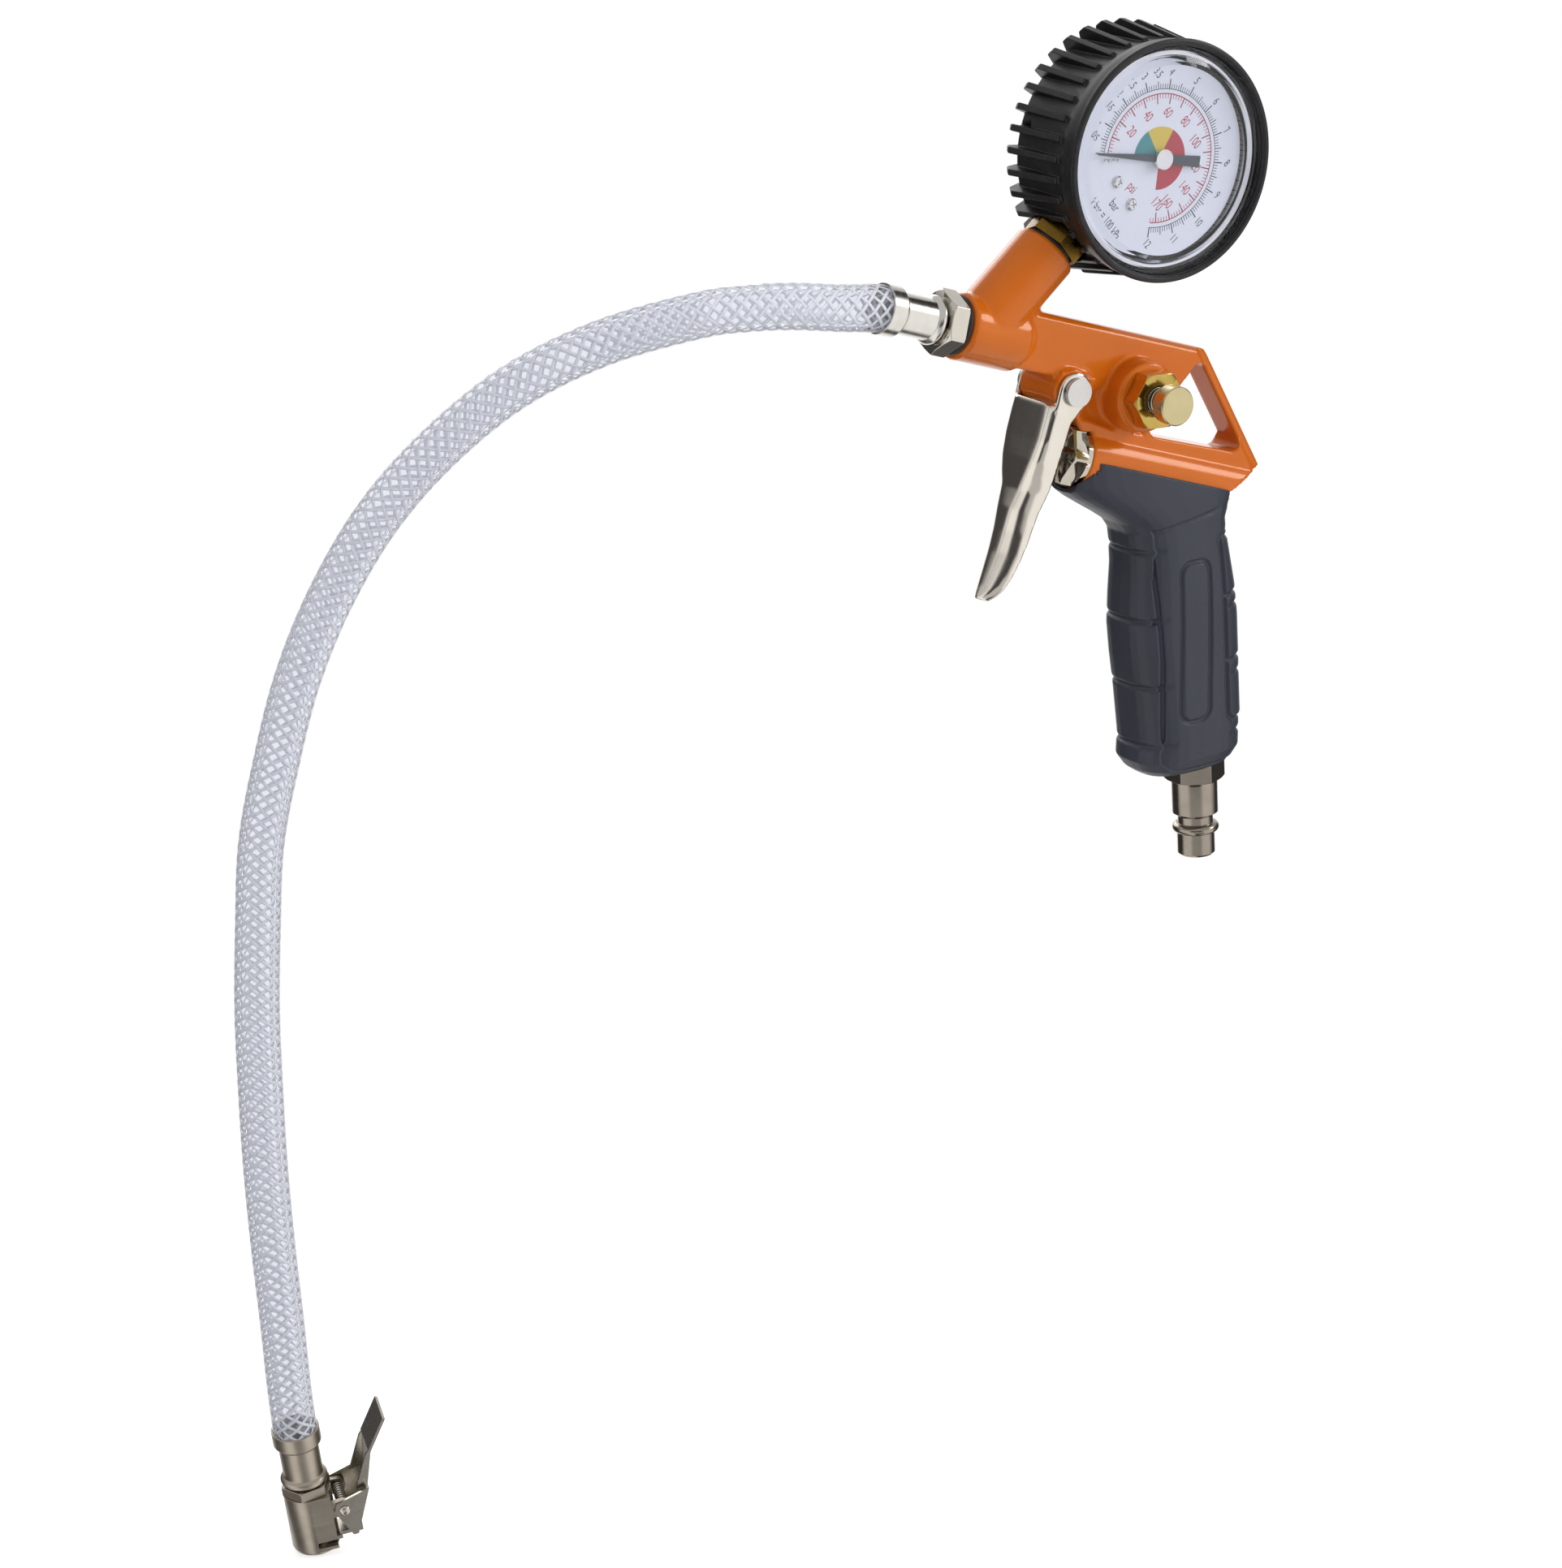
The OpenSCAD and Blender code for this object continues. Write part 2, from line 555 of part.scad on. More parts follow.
module inlet_plug() {
  color("#b9b5ab") difference() {
    union() {
      rotate_extrude() polygon([
        [0, nose_end - 0.6], [nose_d / 2 - 0.6, nose_end - 0.6], [nose_d / 2, nose_end],
          [nose_d / 2, nose_len / 2],
        [nose_d / 2 - 0.3, nose_len / 2 + 0.2], [nose_d / 2 - 0.3, shoulder_z - 1],
        [shoulder_d / 2 - 1.4, shoulder_z - 0.9], [shoulder_d / 2, shoulder_z],
        [shoulder_d / 2, shoulder_z + shoulder_len], [shoulder_d / 2 - 0.2, hex_z], [0, hex_z]
      ]);
      o_ring(collar_d / 2 - 1.25, 1.25, collar_z);
      translate([0, 0, hex_z]) rotate([0, 0, 27])
        hex_nut(plug_hex, core_base - washer_t - hex_z, low = 0.8);
      translate([0, 0, core_base - washer_t - eps])
        cylinder(d = pipe_thread_d, h = pipe_thread_len + washer_t);
    }
    translate([0, 0, nose_end - 1]) cylinder(d = plug_bore_d, h = far);
  }
}

module inlet_washer() {
  color("#d8d2c4") translate([0, 0, core_base - washer_t + seat_gap / 4])
    tube_ring(plug_hex - 0.2, pipe_thread_d + 0.2, washer_t - seat_gap / 2);
}

// ---------------------------------------------------------------- trigger
// Levels down the lever from the pivot: height, front crest, rear edge, half width, squareness
ear_half = trigger_w / 2;
lever_face = 6.3;                        // front face ahead of the pivot
lever_levels = [
  [-4.4, -lever_face, 2.4, ear_half, 6],
  [-8, -lever_face, 1.2, ear_half, 6],
  [-14, -lever_face, 0.9, ear_half - 0.1, 6],
  [-19.8, -lever_face - 0.1, 0.9, ear_half - 0.7, 5],
  [-24, -lever_face + 0.1, 1.1, ear_half - 1.4, 4],
  [-27.2, -lever_face + 0.4, 1.2, ear_half - 2.1, 3.2],
  [-32.8, -lever_face - 0.1, 0.2, ear_half - 2.8, 2.6],
  [-38.5, -lever_face + 0.1, -0.2, ear_half - 3.1, 2.3],
  [-44.3, -lever_face, -0.9, ear_half - 3.3, 2.1],
  [-50.2, -lever_face - 0.6, -2, ear_half - 4, 2],
  [-53.6, -lever_face - 1, -3, ear_half - 4.8, 2],
  [-56, -lever_face - 1.5, -4.2, ear_half - 6, 2],
  [-57.5, -lever_face - 1.9, -5.2, ear_half - 7.4, 2]
];
lever_steps = 16;

// One edge of the lever's U section, moved in by the sheet's thickness for its inner face
function lever_edge(l, inset) =
  let (depth = max(l[2] - l[1] - inset, 0.6), half = max(l[3] - inset, 0.4))
  [for (k = [0 : lever_steps]) let (a = -90 + 180 * k / lever_steps)
    [l[2] - depth * pow(max(cos(a), 0), 2 / l[4]), l[0],
      half * sign(sin(a)) * pow(abs(sin(a)), 2 / l[4])]];
function reversed(v) = [for (i = [len(v) - 1 : -1 : 0]) v[i]];

module lever_shell() {
  loop = 2 * (lever_steps + 1);
  rings = len(lever_levels);
  points = [for (l = lever_levels) each concat(lever_edge(l, 0), reversed(lever_edge(l, trigger_sheet)))];
  last = (rings - 1) * loop;
  caps = [for (k = [0 : lever_steps - 1]) let (m = loop - 1 - k) each [
    [k, m, k + 1], [k + 1, m, m - 1],
    [last + k, last + k + 1, last + m], [last + k + 1, last + m - 1, last + m]
  ]];
  polyhedron(points, concat(caps, wall_faces(rings, loop, 0, false)));
}

module trigger_lever() {
  color("#8d8a86") at_pivot() difference() {
    union() {
      lever_shell();
      for (s = [-1, 1]) translate([0, 0, s * (ear_half - trigger_sheet / 2)])
        linear_extrude(trigger_sheet, center = true) union() {
          circle(r = ear_r);
          polygon([[-ear_r, 0], [-ear_r + 0.1, -6], [1.3, -8], [3.9, -3.2], [0, 0]]);
        }
    }
    translate([0, 0, -far / 2]) cylinder(r = pin_d / 2 + run_fit, h = far);
  }
}

head_t = 1.3;                            // thickness of the pin's head
clip_groove = 0.9;                       // width of the groove for the retaining clip
module trigger_pin() {
  color("#c9c9cb") at_pivot() difference() {
    union() {
      translate([0, 0, -ear_half - 2]) cylinder(d = pin_d, h = trigger_w + 2 + seat_gap);
      translate([0, 0, ear_half + seat_gap]) cylinder(d = pin_head_d, h = head_t);
    }
    translate([0, 0, -ear_half - seat_gap - clip_groove]) tube_ring(far, pin_d - 1.4, clip_groove);
  }
}

module trigger_clip() {
  color("#6f6f72") at_pivot() translate([0, 0, -ear_half - seat_gap - clip_groove + 0.05]) difference() {
    cylinder(d = pin_d + 3.6, h = clip_groove - 0.1);
    translate([0, 0, -eps]) cylinder(d = pin_d - 1.2, h = clip_groove);
    translate([0, -pin_d / 2 + 0.8, -eps]) cube([far, pin_d - 1.6, clip_groove]);
  }
}

// ---------------------------------------------------------------- trigger valve
nut_front = -6;                          // valve nut's front face, ahead of the tube
nut_collar = 1.5;
land_d = chamber_d - 0.2;
stem_reach = pivot_back - lever_face + trigger_sheet + move_gap - tube_front;
stem_neck_d = 2.4;
poppet_z = cap_len + seat_gap;
poppet_seal_t = 2;
poppet_t = 3;
poppet_d = chamber_d - 1.8;

module valve_nut() {
  color("#b8b4aa") at_valve() difference() {
    union() {
      translate([0, 0, nut_front]) rotate([0, 0, 90])
        hex_nut(valve_hex, -nut_front - nut_collar + eps, low = 0.8, high = 0.4);
      translate([0, 0, -nut_collar]) cylinder(d = valve_collar_d, h = nut_collar - seat_gap / 2);
      translate([0, 0, -nut_collar]) cylinder(d = valve_thread_d, h = nut_collar + 6.5);
      cylinder(d = chamber_d - 1.8, h = cap_len);
      translate([0, 0, 12]) cylinder(d = land_d, h = cap_len - 12);
    }
    translate([0, 0, 13.2]) tube_ring(far, land_d - 2, 1.6);
    translate([0, 0, nut_front - 1]) cylinder(r = stem_d / 2 + run_fit, h = 20);
    translate([0, 0, -1.6]) cylinder(d = stem_d + 3.2, h = 2.2);
    translate([0, 0, 4]) cylinder(d = stem_d + 2.6, h = far);
    for (a = [0, 90]) translate([0, 0, way_at]) rotate([90, 0, a])
      cylinder(d = 2.8, h = far, center = true);
  }
}

module valve_nut_seal() {
  color("#1d1d1f") at_valve() o_ring(land_d / 2 - 0.5, 0.45, 14);
}

module stem_seal() {
  color("#1d1d1f") at_valve() o_ring(stem_d / 2 + run_fit + 0.75, 0.7, -0.5);
}

module valve_stem() {
  color("#c4c1ba") at_valve() rotate_extrude() polygon(concat(
    [for (a = [0 : 15 : 90]) [stem_d / 2 * sin(a), stem_reach + stem_d / 2 * (1 - cos(a))]],
    [[stem_d / 2, poppet_z], [stem_neck_d / 2, poppet_z],
     [stem_neck_d / 2, poppet_z + poppet_seal_t + poppet_t + 2.2],
       [0, poppet_z + poppet_seal_t + poppet_t + 2.2]]
  ));
}

module poppet_seal() {
  color("#26262a") at_valve() translate([0, 0, poppet_z])
    tube_ring(poppet_d, stem_neck_d + 0.1, poppet_seal_t);
}

module valve_poppet() {
  color("#b99a4e") at_valve() translate([0, 0, poppet_z + poppet_seal_t]) difference() {
    union() {
      cylinder(d = poppet_d, h = poppet_t);
      cylinder(d = poppet_d - 4.2, h = poppet_t + 2);
    }
    translate([0, 0, -eps]) cylinder(d = stem_neck_d + 0.1, h = far);
  }
}

valve_spring_z = poppet_z + poppet_seal_t + poppet_t + seat_gap;
module valve_spring() {
  color("#a9a9ac") at_valve() translate([0, 0, valve_spring_z])
    coil((poppet_d - valve_wire) / 2 - 0.4, valve_wire, 8, chamber_len - valve_spring_z - seat_gap);
}

// ---------------------------------------------------------------- bleed valve
bleed_nut_h = 5;
bleed_face = bleed_boss_h + bleed_nut_h;
button_gap = bleed_travel + 1;
button_t = 4;
button_under = bleed_face + button_gap;
bleed_seal_t = 1.5;
bleed_poppet_t = 1.2;
spring_seat = bleed_boss_h + 1.5;
bleed_neck_d = 2.6;

module bleed_nut() {
  color("#c3a04f") at_bleed() difference() {
    union() {
      translate([0, 0, bleed_boss_h + seat_gap / 2]) rotate([0, 0, 15])
        hex_nut(bleed_hex, bleed_nut_h - seat_gap / 2, low = 0.3, high = 0.9);
      translate([0, 0, bleed_bottom + seat_gap])
        cylinder(d = bleed_thread_d, h = bleed_boss_h - bleed_bottom);
    }
    translate([0, 0, bleed_bottom - 1]) cylinder(r = button_shank_d / 2 + run_fit, h = far);
    translate([0, 0, spring_seat]) cylinder(d = button_d - 1.8, h = far);
  }
}

module bleed_button() {
  color("#cbb45f") at_bleed() rotate_extrude() polygon([
    [0, bleed_bottom - bleed_seal_t - bleed_poppet_t],
      [bleed_neck_d / 2, bleed_bottom - bleed_seal_t - bleed_poppet_t],
    [bleed_neck_d / 2, bleed_bottom], [button_shank_d / 2, bleed_bottom + 0.4],
      [button_shank_d / 2, button_under],
    [button_d / 2, button_under], [button_d / 2, button_under + button_t - 0.3],
    [button_d / 2 - 0.3, button_under + button_t], [0, button_under + button_t]
  ]);
}

module bleed_spring() {
  color("#b9b9bb") at_bleed() translate([0, 0, spring_seat + seat_gap])
    coil(button_shank_d / 2 + bleed_wire / 2 + 0.5, bleed_wire, 4,
      button_under - spring_seat - 2 * seat_gap);
}

module bleed_seal() {
  color("#26262a") at_bleed() translate([0, 0, bleed_bottom - bleed_seal_t])
    tube_ring(7, bleed_neck_d + 0.1, bleed_seal_t);
}

module bleed_poppet() {
  color("#b99a4e") at_bleed() translate([0, 0, bleed_bottom - bleed_seal_t - bleed_poppet_t])
    tube_ring(7, bleed_neck_d + 0.1, bleed_poppet_t - 0.02);
}

// ---------------------------------------------------------------- hose end fittings
seal_t = 1.7;                            // height of the squeezed ring at the muzzle
fitting_hex_len = 5;
ferrule_z = seal_t + fitting_hex_len + 0.3;
skirt_len = 4.3;
flare_len = 1.2;
bead_r = 1.1;
crimp_end = ferrule_len - skirt_len - flare_len;
tail_len = ferrule_len - 2.5;

// A barbed tail about Z from z = 0
module barbed_tail(len) {
  barb = 3;
  rotate_extrude() polygon(concat(
    [[0, 0], [tail_d / 2 - 0.4, 0]],
    [for (i = [0 : floor(len / barb) - 1]) each [[tail_d / 2, i * barb + 0.6],
      [tail_d / 2 - 0.4, (i + 1) * barb]]],
    [[tail_d / 2 - 0.4, len], [0, len]]
  ));
}

// A crimped ferrule about Z, its bead at z = 0 and its skirt open at the far end
module ferrule() {
  inner = [
    [tail_d / 2 + 0.2, 0], [tail_d / 2 + 0.2, 0.6], [bead_d / 2 - 0.6, 0.9], [bead_d / 2 - 0.6, 1.6],
    [crimp_d / 2 - ferrule_wall, 2.4], [crimp_d / 2 - ferrule_wall, crimp_end],
    [skirt_d / 2 - ferrule_wall, crimp_end + flare_len], [skirt_d / 2 - ferrule_wall, ferrule_len]
  ];
  outer = [
    [skirt_d / 2, ferrule_len], [skirt_d / 2, crimp_end + flare_len], [crimp_d / 2, crimp_end],
    [crimp_d / 2, 2.6], [bead_d / 2 - 0.3, 2], [bead_d / 2, 1.5], [bead_d / 2, 0.9],
      [bead_d / 2 - 0.4, 0.3],
    [bead_d / 2 - 1, 0]
  ];
  rotate_extrude() polygon(concat(inner, outer));
}

module hose_fitting() {
  color("#bdbab2") at_muzzle() difference() {
    union() {
      translate([0, 0, -pipe_thread_len]) cylinder(d = pipe_thread_d, h = pipe_thread_len - 0.4);
      translate([0, 0, -1]) cylinder(d = pipe_thread_d - 1.4, h = seal_t + 1 + eps);
      translate([0, 0, seal_t]) rotate([0, 0, 6])
        hex_nut(fitting_hex, fitting_hex_len, low = 0.5, high = 1);
      translate([0, 0, seal_t + fitting_hex_len - eps]) barbed_tail(tail_len + 0.3);
    }
    translate([0, 0, -pipe_thread_len - 1]) cylinder(d = tail_bore_d, h = far);
  }
}

module fitting_seal() {
  color("#151517") at_muzzle() o_ring(pipe_thread_d / 2 + 0.55, seal_t / 2 - 0.02, seal_t / 2);
}

module gun_ferrule() {
  color("#b4b1aa") at_muzzle() translate([0, 0, ferrule_z]) ferrule();
}

// ---------------------------------------------------------------- hose
// Places on the hose's middle line between its two ferrules
hose_route = [
  [-105.5, 0.7, 162.5], [-117.5, 3, 164.6], [-129, 6.5, 165.5], [-141, 11, 165], [-162, 23, 159.5],
  [-180, 36.5, 149], [-195, 49.5, 133.5], [-206.5, 61.5, 115.5], [-215, 72.5, 94.5], [-221, 82, 72],
  [-224.5, 90, 48.5], [-226.5, 97.5, 25], [-226, 103.5, 0.5], [-225, 109, -24], [-223, 114, -48],
  [-220.5, 119, -72.5], [-217.5, 123.5, -97], [-214, 128, -121.5], [-211.5, 131.5, -140]
];
chuck_rim = [-209, 134.5, -154.5];       // centre of the chuck ferrule's rim
chuck_tilt = 14;                         // lean of the chuck from upright
chuck_azimuth = 218;                     // way that its top leans
clip_azimuth = -21;                      // way that the clip lever faces
hose_side = [0.75, 0.65, 0];             // never in line with the hose
gun_axis = [-cos(barrel_lean), 0, sin(barrel_lean)];
gun_mouth = [-muzzle_ahead, 0, muzzle_height];
chuck_axis = [sin(chuck_tilt) * cos(chuck_azimuth), sin(chuck_tilt) * sin(chuck_azimuth), cos(chuck_tilt)];
// Where the hose runs inside a ferrule, from the ferrule's bead
hose_in_ferrule = [2.6, crimp_end - 0.2, crimp_end + flare_len + 0.2, ferrule_len];
crimped_r = crimp_d / 2 - ferrule_wall - run_fit;
hose_r = hose_d / 2 - run_fit;
hose_path = concat(
  [for (z = hose_in_ferrule) gun_mouth + (ferrule_z + z) * gun_axis],
  hose_route,
  [for (i = [3 : -1 : 0]) chuck_rim + (hose_in_ferrule[i] - ferrule_len) * chuck_axis]
);
hose_radii = concat([crimped_r, crimped_r, hose_r, hose_r], [for (p = hose_route) hose_d / 2],
  [hose_r, hose_r, crimped_r, crimped_r]);

module hose() {
  rings = len(hose_path);
  n = facet_sides;
  outer = [for (i = [0 : rings - 1]) each ring_points(hose_path[i], cut_at(hose_path, i), hose_side,
    hose_radii[i], n)];
  inner = [for (i = [0 : rings - 1]) each ring_points(hose_path[i], cut_at(hose_path, i), hose_side,
    hose_bore_d / 2, n)];
  first_in = rings * n;
  end_out = (rings - 1) * n;
  end_in = first_in + end_out;
  start_faces = [for (k = [0 : n - 1], half = [0, 1]) let (m = (k + 1) % n)
    half == 0 ? [k, first_in + k, m] : [m, first_in + k, first_in + m]];
  end_faces = [for (k = [0 : n - 1], half = [0, 1]) let (m = (k + 1) % n)
    half == 0 ? [end_out + k, end_out + m, end_in + k] : [end_out + m, end_in + m, end_in + k]];
  color("#c9cfe4") polyhedron(concat(outer, inner),
    concat(wall_faces(rings, n, 0, false), wall_faces(rings, n, first_in, true), start_faces, end_faces));
}

// ---------------------------------------------------------------- chuck
// Z is measured from the ferrule's rim, downwards negative
bead_z = -ferrule_len;                   // ferrule's closed end
chuck_hex_z = bead_z - 0.3;
chuck_hex_len = 2.9;
body_z = chuck_hex_z - chuck_hex_len;
mouth_z = body_z - chuck_len;
body_flat = 5.3;                         // flat face towards the lever
rivet_x = 8.6;
rivet_z = body_z - 5;
slot_z = mouth_z + 2.3;                   // floor of the jaw's slot
slot_h = 1.9;
jaw_t = 1.1;
cheek_half = clip_w / 2;
chuck_thread_d = 9.6;
chuck_bore_d = chuck_thread_d + 2 * thread_gap;
chuck_thread_len = 4.5;
seal_z = mouth_z + 9.4;                  // shoulder under the chuck's rubber seal
chuck_seal_t = 3;
depressor_d = 1.6;
depressor_proud = 0.1;                   // how far its pin stands out of the seal

module chuck_ferrule() {
  color("#a7a49c") at_chuck() translate([0, 0, bead_z]) ferrule();
}

module chuck_tail() {
  color("#aaa79d") at_chuck() difference() {
    union() {
      translate([0, 0, bead_z - 0.3 - eps]) barbed_tail(tail_len + 0.3);
      translate([0, 0, body_z + seat_gap / 2]) rotate([0, 0, 10])
        hex_nut(chuck_hex, chuck_hex_len - seat_gap / 2, high = 0.5);
      translate([0, 0, body_z - chuck_thread_len]) cylinder(d = chuck_thread_d, h = chuck_thread_len + 1);
    }
    translate([0, 0, -far / 2]) cylinder(d = tail_bore_d - 0.6, h = far);
  }
}

module chuck_body() {
  color("#a29f94") at_chuck() difference() {
    union() {
      translate([0, 0, mouth_z]) rotate_extrude() polygon([
        [0, 0], [chuck_d / 2 - 1.2, 0], [chuck_d / 2 - 0.3, 0.4], [chuck_d / 2, 1.3],
          [chuck_d / 2, chuck_len], [0, chuck_len]
      ]);
      translate([0, -chuck_d / 2, mouth_z + 1.3]) cube([body_flat, chuck_d, chuck_len - 1.3]);
      // two ears that carry the rivet
      for (s = [-1, 1]) translate([0, s * (cheek_half - clip_sheet - move_gap - 0.8), rivet_z])
        rotate([90, 0, 0]) linear_extrude(1.6, center = true) union() {
          translate([rivet_x, 0]) circle(r = 2.4);
          translate([body_flat - 1, -2.4]) square([rivet_x - body_flat + 1, 4.8]);
        }
    }
    translate([0, 0, mouth_z - eps]) cylinder(d = mouth_d, h = chuck_len);
    translate([0, 0, seal_z]) cylinder(d = chuck_bore_d, h = far);
    translate([-0.2, -far / 2, slot_z]) cube([far, far, slot_h]);
    at_local_rivet() translate([0, 0, -far / 2]) cylinder(r = rivet_d / 2 + run_fit, h = far);
  }
}
module at_local_rivet() { translate([rivet_x, 0, rivet_z]) rotate([90, 0, 0]) children(); }

module chuck_seal() {
  color("#232326") at_chuck() translate([0, 0, seal_z])
    tube_ring(chuck_bore_d - 2 * seat_gap, depressor_d + 1.6, chuck_seal_t);
}

module chuck_depressor() {
  // spider that lies under the tail's thread, with the pin that opens the tyre's valve
  top = body_z - chuck_thread_len;
  color("#b99a4e") at_chuck() difference() {
    union() {
      translate([0, 0, seal_z + chuck_seal_t + seat_gap])
        cylinder(d = chuck_bore_d - 2 * seat_gap, h = top - seal_z - chuck_seal_t - 2 * seat_gap);
      translate([0, 0, seal_z - depressor_proud]) cylinder(d = depressor_d, h = chuck_seal_t + 1);
    }
    for (a = [30, 150, 270]) rotate([0, 0, a]) translate([2.5, 0, seal_z + chuck_seal_t - 1])
      cylinder(d = 1.3, h = far);
  }
}

rivet_head = 0.9;
module chuck_rivet() {
  half = cheek_half + seat_gap;
  color("#9d9a90") at_rivet() {
    translate([0, 0, -half]) cylinder(d = rivet_d, h = 2 * half);
    for (s = [-1, 1]) mirror([0, 0, s < 0 ? 1 : 0]) translate([0, 0, half]) rotate_extrude()
      polygon(concat(
      [[0, 0]], [for (a = [0 : 15 : 90]) [rivet_d * 0.86 * cos(a), rivet_head * sin(a)]]
    ));
  }
}

// Clip lever, points in the X-Z plane from the rivet: cheeks, then the arm's outer line
cheek = [[-2.9, 0], [-1.6, 2.6], [7.6, 5.4], [2.6, -8.6], [1.2, -8.6]];
arm = [[2.6, -8.6], [7.6, 5.4], [10, 15.8], [15.4, 25.2]];
pad_half = 5.5;
arm_half = 4.4;

module arm_line(from, to, t) {
  // a strip of sheet between two places of the arm, its outer face on the line
  way = unit(arm[to] - arm[from]);
  out = [way[1], -way[0]];
  polygon([arm[from], arm[to], arm[to] - t * out, arm[from] - t * out]);
}

module clip_lever() {
  color("#8f8c84") at_rivet() difference() {
    union() {
      // the back between the cheeks, the arm and its thumb pad
      linear_extrude(clip_w, center = true) arm_line(0, 1, clip_sheet);
      linear_extrude(2 * arm_half + 1.6, center = true) union() {
        arm_line(1, 2, clip_sheet);
        translate(arm[1] - [0.4, 0]) circle(d = clip_sheet);
      }
      linear_extrude(2 * pad_half, center = true) union() {
        arm_line(2, 3, clip_sheet);
        translate(arm[2] - [0.4, 0]) circle(d = clip_sheet);
      }
      for (s = [-1, 1]) {
        translate([0, 0, s * (cheek_half - clip_sheet / 2)]) linear_extrude(clip_sheet, center = true)
          polygon(cheek);
        // narrow flanges that stiffen the arm
        translate([0, 0, s * (arm_half + 0.8 - clip_sheet / 2)]) linear_extrude(clip_sheet, center = true)
          polygon([arm[1] - [3.4, 1], arm[1], arm[2], arm[2] + [2.4, 4.4], arm[2] - [1.6, 1]]);
      }
    }
    translate([0, 0, -far / 2]) cylinder(r = rivet_d / 2 + run_fit, h = far);
  }
}

jaw_out = rivet_x + 2.6 + move_gap + 0.5;
module clip_jaw() {
  // sliding jaw in the body's slot: a tooth towards the bore and a hook behind the lever
  color("#98958b") at_chuck() translate([0, 0, slot_z + (slot_h - jaw_t) / 2]) {
    difference() {
      translate([0.6, -4.6, 0]) cube([jaw_out - 0.6, 9.2, jaw_t]);
      translate([0, 0, -eps]) cylinder(d = mouth_d + 0.3, h = jaw_t + 2 * eps);
      translate([7, -far / 2 - 3, -eps]) cube([far, far / 2, jaw_t + 2 * eps]);
      translate([7, 3, -eps]) cube([far, far / 2, jaw_t + 2 * eps]);
    }
    translate([jaw_out - eps, -3, 0]) cube([1, 6, 3.4]);
  }
}

module clip_spring() {
  // torsion spring round the rivet, between the two ears
  h = 2 * (cheek_half - clip_sheet - move_gap - 1.6) - 2 * seat_gap;
  color("#b3b0a8") at_rivet() translate([0, 0, -h / 2])
    coil(rivet_d / 2 + clip_wire / 2 + 0.15, clip_wire, 8, h);
}

// ---------------------------------------------------------------- gauge
// In the gauge's own frame Z is up the stem and -Y faces the reader
case_back = case_rim - case_depth;       // case's back, behind the stem's axis when negative
stem_top = -5;                           // top of the socket block, from the dial's centre
socket_w = 9;
// lower end of the socket block inside the case's round wall
socket_low = sqrt(pow(case_d / 2 - case_wall, 2) - pow(socket_w / 2, 2)) - seat_gap;
bourdon_r = case_d / 2 - case_wall - 7;   // radius of the pressure tube's bend
neck_d = 11.6;                           // round neck where the stem enters the case
washer_rise = 0.9;                       // sealing washer under the stem's hexagon
case_screw_d = 2;
case_screw_at = [-8, 2 - bourdon_r];     // from the dial's centre along the stem
dial_y = 11;                             // dial's back, forward of the stem's axis
dial_t = 0.5;

module ring_about_dial(points) { at_dial() rotate_extrude($fn = 96) polygon(points); }

module gauge_socket() {
  color("#b48a35") difference() {
    union() {
      at_stub() {
        translate([0, 0, stub_len - pipe_thread_len]) cylinder(d = pipe_thread_d, h = pipe_thread_len);
        translate([0, 0, stub_len + washer_rise + seat_gap]) rotate([0, 0, 8])
          hex_prism(stem_hex, stem_hex_len - washer_rise - 2 * seat_gap);
        translate([0, 0, stub_len - eps]) cylinder(d = pipe_thread_d - 1, h = washer_rise + 2 * seat_gap);
        translate([0, 0, stub_len + washer_rise + 1]) cylinder(d = neck_d, h = stem_hex_len - washer_rise + 1);
      }
      at_gauge() translate([-socket_w / 2, -socket_w / 2, -socket_low])
        cube([socket_w, socket_w, socket_low + stem_top]);
    }
    at_stub() cylinder(d = 4, h = gauge_reach - bourdon_r);
    // seat for the pressure tube's foot
    at_dial() translate([0, 0, -tube_w / 2 - seat_gap]) rotate([0, 0, -90 + tube_foot])
      translate([bourdon_r - tube_h / 2 - seat_gap, seat_gap - far, 0])
        cube([tube_h + 2 * seat_gap, far, tube_w + 2 * seat_gap]);
    // air way from the stem's bore into the pressure tube
    at_dial() rotate([0, 0, -90 + tube_foot]) translate([bourdon_r, 0, 0]) rotate([-90, 0, 0])
      cylinder(d = tube_h - 2 * tube_wall, h = socket_w / 2 - 1.5);
    // threads for the screws through the case's back and for the movement
    at_gauge() for (z = case_screw_at) translate([0, 0, z]) rotate([-90, 0, 0])
      cylinder(d = case_screw_d + 2 * seat_gap, h = far);
    at_dial() for (p = fix_screws) translate([p[0], p[1], socket_w / 2 - 2.6]) cylinder(d = 1.6, h = 3);
  }
}

module gauge_seal() {
  color("#8f8b80") at_stub() translate([0, 0, stub_len + seat_gap / 2])
    tube_ring(stem_hex - 0.6, pipe_thread_d - 0.8, washer_rise);
}

module gauge_case() {
  color("#1b1b1d") difference() {
    ring_about_dial([
      [0, case_back], [case_d / 2 - 1, case_back], [case_d / 2, case_back + 1], [case_d / 2, case_rim],
      [case_d / 2 - case_wall, case_rim], [case_d / 2 - case_wall, case_back + case_wall],
      [0, case_back + case_wall]
    ]);
    at_gauge() translate([0, 0, -far]) cylinder(d = neck_d + 2 * seat_gap, h = far);
    at_gauge() for (z = case_screw_at) translate([0, 0, z]) rotate([-90, 0, 0])
      cylinder(d = case_screw_d + 0.6, h = far);
  }
}

